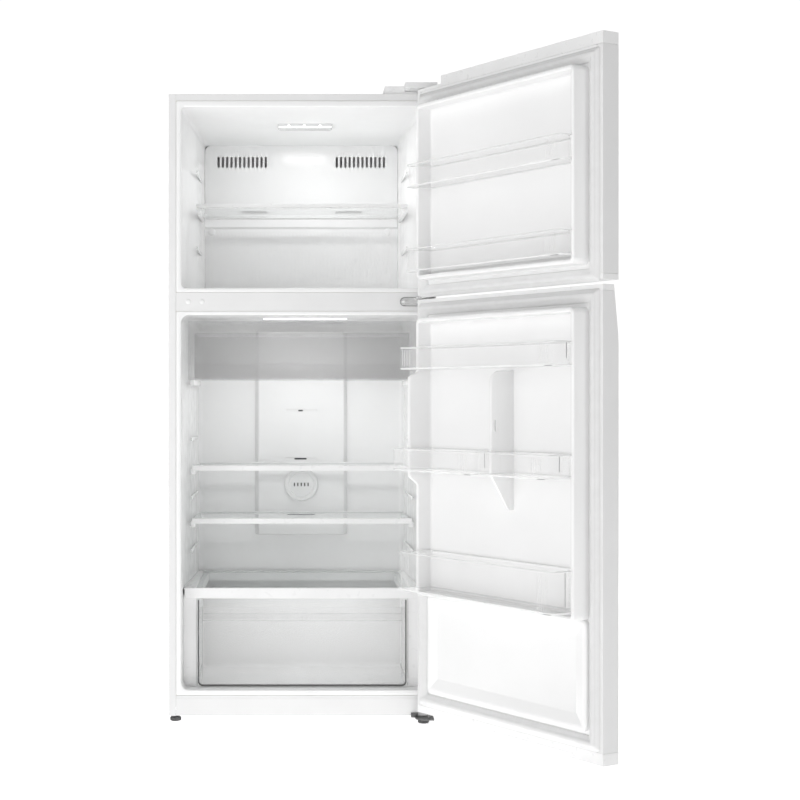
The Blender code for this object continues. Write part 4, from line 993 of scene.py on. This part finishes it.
def rack_edges(name, plan, radii, low, high):
    """Rolled rim, thick lower edge and end ribs of a rack in the painted-highlight copy of the
    clear plastic, so they show brighter than its walls; dark strips give painted shade along an end
    and the lower back edge.
    """
    rolled = stacked((high.z, (-0.0001, -0.003), (-0.0001, -0.0006), (0.0006, 0.0001),
                      (0.0016, 0.0001), (0.0023, -0.0006), (0.0023, -0.003)))
    lower = stacked((low.z, (0.001, 0.0012), (0.0, 0.003), (0.0, 0.0052), (0.0012, 0.0052),
                     (0.0016, 0.0032)))
    # Painted highlight: rim and lower edge in a whiter, more opaque copy of the clear plastic
    with drawn(name + "_rim", EDGE_HIGHLIGHT, name, smooth=50.0) as bm:
        for levels in (rolled, lower):
            loft(bm, layers(plan, radii, "Z", levels), round_trip=True)
    # Painted highlight: end ribs in the same whiter copy of the clear plastic
    with drawn(name + "_end_ribs", EDGE_HIGHLIGHT, name) as bm:
        for index in range(5):
            for x in (low.x + 0.02 + 0.0075 * index, high.x - 0.02 - 0.0075 * index):
                block(bm, (x - 0.0005, high.y - 0.0004, low.z + 0.009),
                      (x + 0.0005, high.y + 0.0004, high.z - 0.008))
    # Painted shade: dark strips where clear edges look dark end on
    with drawn(name + "_shaded_edges", SHADED, name) as bm:
        block(bm, (low.x - 0.0003, high.y - 0.04, low.z + 0.018),
              (low.x + 0.0008, high.y - 0.0388, high.z - 0.004))
        block(bm, (low.x + 0.004, high.y - 0.0004, low.z + 0.0008),
              (low.x + 0.03, high.y + 0.0003, low.z + 0.002))


# Hardware
def cross_screw(bm, centre, axis, radius=0.005):
    """Pan head with a recess in its middle."""
    profile = [(radius, -0.0006), (radius, 0.0006), (radius * 0.8, 0.0018), (radius * 0.45, 0.0022),
               (radius * 0.4, 0.001), (radius * 0.1, 0.0006)]
    lathe(bm, profile, centre, axis, 24)


def front_feet():
    """Levelling feet with a knurled rim."""
    steps, bumps, bump = 96, 24, 0.00045
    for name in ("front_foot_left", "front_foot_right"):
        low, high = span(name)
        middle = (low + high) / 2
        levels = [(0.012, 0.0, 0.0), (0.0135, 0.0008, 0.3), (0.0143, 0.0022, 1.0),
                  (0.0143, 0.0086, 1.0), (0.0138, 0.0098, 0.3), (0.0125, 0.0104, 0.0),
                  (0.0085, 0.0107, 0.0), (0.0076, 0.0111, 0.0), (0.0076, high.z - 0.0004, 0.0),
                  (0.007, high.z, 0.0)]
        rings = []
        for radius, z, knurl in levels:
            ring = []
            for angle in (2 * pi * step / steps for step in range(steps)):
                reach = radius + bump * knurl * cos(bumps * angle)
                ring.append(Vector((middle.x + reach * cos(angle),
                                    middle.y + reach * sin(angle), z)))
            rings.append(ring)
        with drawn(name + "_knurled", DARK, name, [name]) as bm:
            loft(bm, rings)


def hood_underside():
    """Lip that closes the hood's nose beside the hinge bracket."""
    front = span("top_hinge_cover")[0].y
    with drawn("hood_lip", MOULDED) as bm:
        block(bm, (0.27, front + 0.0026, 1.6612), (0.2815, 0.004, 1.6628), 0.0003)


def middle_hinge_parts():
    """Dark outline behind the middle hinge's plate, a painted shadow of the gap round it, and the
    freezer door's stop, a dark part that also stands in for the shadow between the doors.
    """
    left, right = span("middle_hinge")[0].x - 0.0013, 0.3133
    half, middle = 0.0118, 1.1067
    # Painted shadow: dark outline a little larger than the plate, for the shadow in the gap round
    # it
    with drawn("middle_hinge_shadow_outline", DARK) as bm:
        outline = rectangle((left, middle - half), (right, middle + half))
        prism(bm, rounded(outline, [0.0117, 0.001, 0.001, 0.0117], 0.0, 6), "Y", -0.0016, -0.0002)
    plan = [(0.253, -0.03), (0.3, -0.0245), (0.334, -0.0245), (0.334, -0.04), (0.3, -0.04),
            (0.253, -0.036)]
    radii = [0.0025, 0.004, 0.004, 0.004, 0.004, 0.0025]
    # Door stop in dark plastic; its dark also stands in for the shadow in the gap between the
    # doors, as painted shade
    with drawn("freezer_door_stop", DARK, "freezer_door", bevel=0.0004) as bm:
        prism(bm, rounded(plan, radii)[::-1], "Z", 1.1176, 1.1197)


def back_beads():
    """Pressed beads on the rear panel."""
    low, high = span("rear_panel")
    levels = stacked((high.y, (0.0, -0.0004), (0.003, 0.0008), (0.006, 0.0011), (0.01, 0.0008),
                      (0.013, -0.0004)))
    with drawn("rear_panel_beads", ZINC) as bm:
        for x in (-0.24, -0.08, 0.08, 0.24):
            outline = rectangle((x - 0.055, low.z + 0.07), (x + 0.055, high.z - 0.07))
            loft(bm, layers(outline, 0.03, "Y", levels, 8), round_trip=True)


def screws():
    """Screws of the middle hinge, the bay cover, the rear panel and the hinge hood."""
    with drawn("middle_hinge_screw", PLATED) as bm:
        cross_screw(bm, (0.2685, -0.0031, 1.1067), "Y")
    bay_low, bay_high = span("bay_cover")
    with drawn("rear_screws", PLATED) as bm:
        for x in (-0.325, -0.11, 0.11, 0.325):
            cross_screw(bm, (x, bay_high.y, bay_high.z - 0.008), "-Y")
            cross_screw(bm, (x, bay_high.y, bay_low.z + 0.008), "-Y")
        for z in (0.28, 0.72, 1.17, 1.62):
            for x in (-0.34, 0.34):
                cross_screw(bm, (x, span("rear_panel")[1].y - 0.0005, z), "-Y", 0.0045)
    with drawn("hood_screw", PLATED) as bm:
        cross_screw(bm, (0.24, span("top_hinge_cover")[1].y - 0.028, 1.67), "Z")


def pipe(name, points, radius):
    """A bent copper tube through a few points of the cabinet."""
    curve = bpy.data.curves.new(name, "CURVE")
    curve.dimensions = "3D"
    curve.bevel_depth = radius
    curve.bevel_resolution = 4
    curve.use_fill_caps = True
    spline = curve.splines.new("NURBS")
    spline.points.add(len(points) - 1)
    for point, spot in zip(spline.points, points):
        point.co = (*spot, 1.0)
    spline.use_endpoint_u = True
    spline.order_u = 4
    spline.resolution_u = 8
    curve.materials.append(COPPER)
    thing = placed(name, curve)
    thing.matrix_world = CABINET
    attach(thing, "cabinet")


def bay_pipework():
    """Tubes, terminal box and mounts of the compressor."""
    low, high = span("compressor")
    x, y = (low.x + high.x) / 2, (low.y + high.y) / 2
    coil_end = span("condenser")[1].x - 0.25
    pipe("discharge_tube", [(x + 0.07, y, 0.13), (x + 0.105, y, 0.13), (x + 0.115, y, 0.19),
                            (0.015, y, 0.225), (0.022, y, 0.225), (coil_end, y, 0.21)], 0.0028)
    pipe("suction_tube", [(x - 0.07, y + 0.02, 0.12), (x - 0.11, y + 0.02, 0.12),
                          (x - 0.12, y + 0.02, 0.18), (x - 0.11, y, 0.236)], 0.0036)
    with drawn("compressor_terminal_box", DARK) as bm:
        block(bm, (x + 0.055, y - 0.058, 0.075), (x + 0.09, y - 0.02, 0.14), 0.004)
    grommet = [(0.01, 0.0), (0.011, 0.004), (0.009, 0.0075)]
    with drawn("compressor_grommets", DARK) as bm:
        for dx in (-0.08, 0.08):
            for dy in (-0.045, 0.045):
                lathe(bm, grommet, (x + dx, y + dy, 0.0515), "Z", 24)


# Floor, light and camera
def floor():
    look = new_look("studio_floor", Roughness=0.9, Specular_IOR_Level=0.1,
                    Emission_Strength=0.86)
    tint(look, noise(look, 1.5), 0.93, 0.95)
    mesh = bpy.data.meshes.new("floor")
    ground = raised(rectangle((-14.0, -14.0), (14.0, 14.0)), "Z", 0.0)
    mesh.from_pydata(ground, [], [(0, 1, 2, 3)])
    mesh.materials.append(look)
    placed("floor", mesh)


def world():
    """Surround that shows pure white and lights the scene with a fifth of its strength."""
    made = bpy.data.worlds.new("studio")
    made.use_nodes = True
    shine = made.node_tree.nodes["Background"]
    shine.inputs["Color"].default_value = (1.0, 1.0, 1.0, 1.0)
    path = node_in(made, "ShaderNodeLightPath")
    strength = node_in(made, "ShaderNodeMapRange", To_Min=0.2, To_Max=1.05)
    link(made, path.outputs["Is Camera Ray"], strength.inputs["Value"])
    link(made, strength.outputs["Result"], shine.inputs["Strength"])
    scene.world = made


def area_light(name, spot, target, size, power):
    light = bpy.data.lights.new(name, "AREA")
    light.shape = "RECTANGLE"
    light.size, light.size_y = size
    light.energy = power
    thing = placed(name, light)
    thing.location = spot
    thing.visible_camera = False
    aim = Vector(target) - Vector(spot)
    thing.rotation_euler = aim.to_track_quat("-Z", "Y").to_euler()


def lights():
    area_light("front", (-2.0, -5.6, 0.95), (-0.1, 0.0, 0.8), (2.6, 1.8), 29)
    area_light("key", (-3.4, -3.0, 1.8), (0.2, 0.0, 0.9), (2.0, 2.4), 59)
    area_light("fill", (3.4, -4.6, 1.5), (0.2, 0.0, 0.9), (2.0, 2.4), 28)
    area_light("ceiling", (0.0, 0.2, 4.2), (0.0, 0.0, 0.0), (4.0, 4.0), 34)
    area_light("back", (0.5, 4.0, 2.4), (0.0, 0.3, 0.9), (3.0, 2.0), 16)
    for name, y, z, size, power in (("freezer_glow", 0.212, 1.59, (0.14, 0.04), 0.65),
                                    ("fridge_glow", 0.21, 1.055, (0.22, 0.04), 1.35),
                                    ("crisper_glow", 0.24, 0.322, (0.4, 0.2), 0.22)):
        spot = CABINET @ Vector((0.009, y, z))
        area_light(name, spot, spot - Vector((0.0, 0.0, 1.0)), size, power)


def camera():
    """Level camera in front of the case, a little left of its middle, framed to the right."""
    made = bpy.data.cameras.new("camera")
    made.lens = 73.18
    made.shift_x = 0.1355
    thing = placed("camera", made)
    thing.location = CABINET @ Vector((-0.0282, -4.2823, 0.848))
    thing.rotation_euler = (pi / 2, 0.0, 0.0)
    scene.camera = thing


scene.view_settings.view_transform = "Standard"
scene.cycles.max_bounces = 20
scene.cycles.diffuse_bounces = 10
scene.cycles.transparent_max_bounces = 24
camera()
finish_nodes()
for make in (freezer_liner, fridge_liner, evaporator_cover, cover_ribs, round_caps, freezer_lamp):
    make()
for shelf in ("freezer_shelf", "upper_shelf", "lower_shelf"):
    shelf_details(shelf)
for make in (duct_cover, duct_outlets, deodoriser_slots, fridge_lamp, chiller_drawer,
             crisper_drawer, crisper_gap_shade, crisper_fillers, freezer_door_liner, fridge_door_liner):
    make()
for door in ("freezer_door", "fridge_door"):
    gasket(door + "_gasket", door)
rack("freezer_rack_upper")
rack("freezer_rack_lower")
rack("fridge_rack_top")
rack("fridge_rack_hinge_side", free_step=0.001, rim=TALL_W)
rack("fridge_rack_free_side", hinge_step=0.001)
rack("fridge_rack_bottom")
for make in (front_feet, hood_underside, middle_hinge_parts, back_beads, screws, bay_pipework,
             floor, world, lights):
    make()
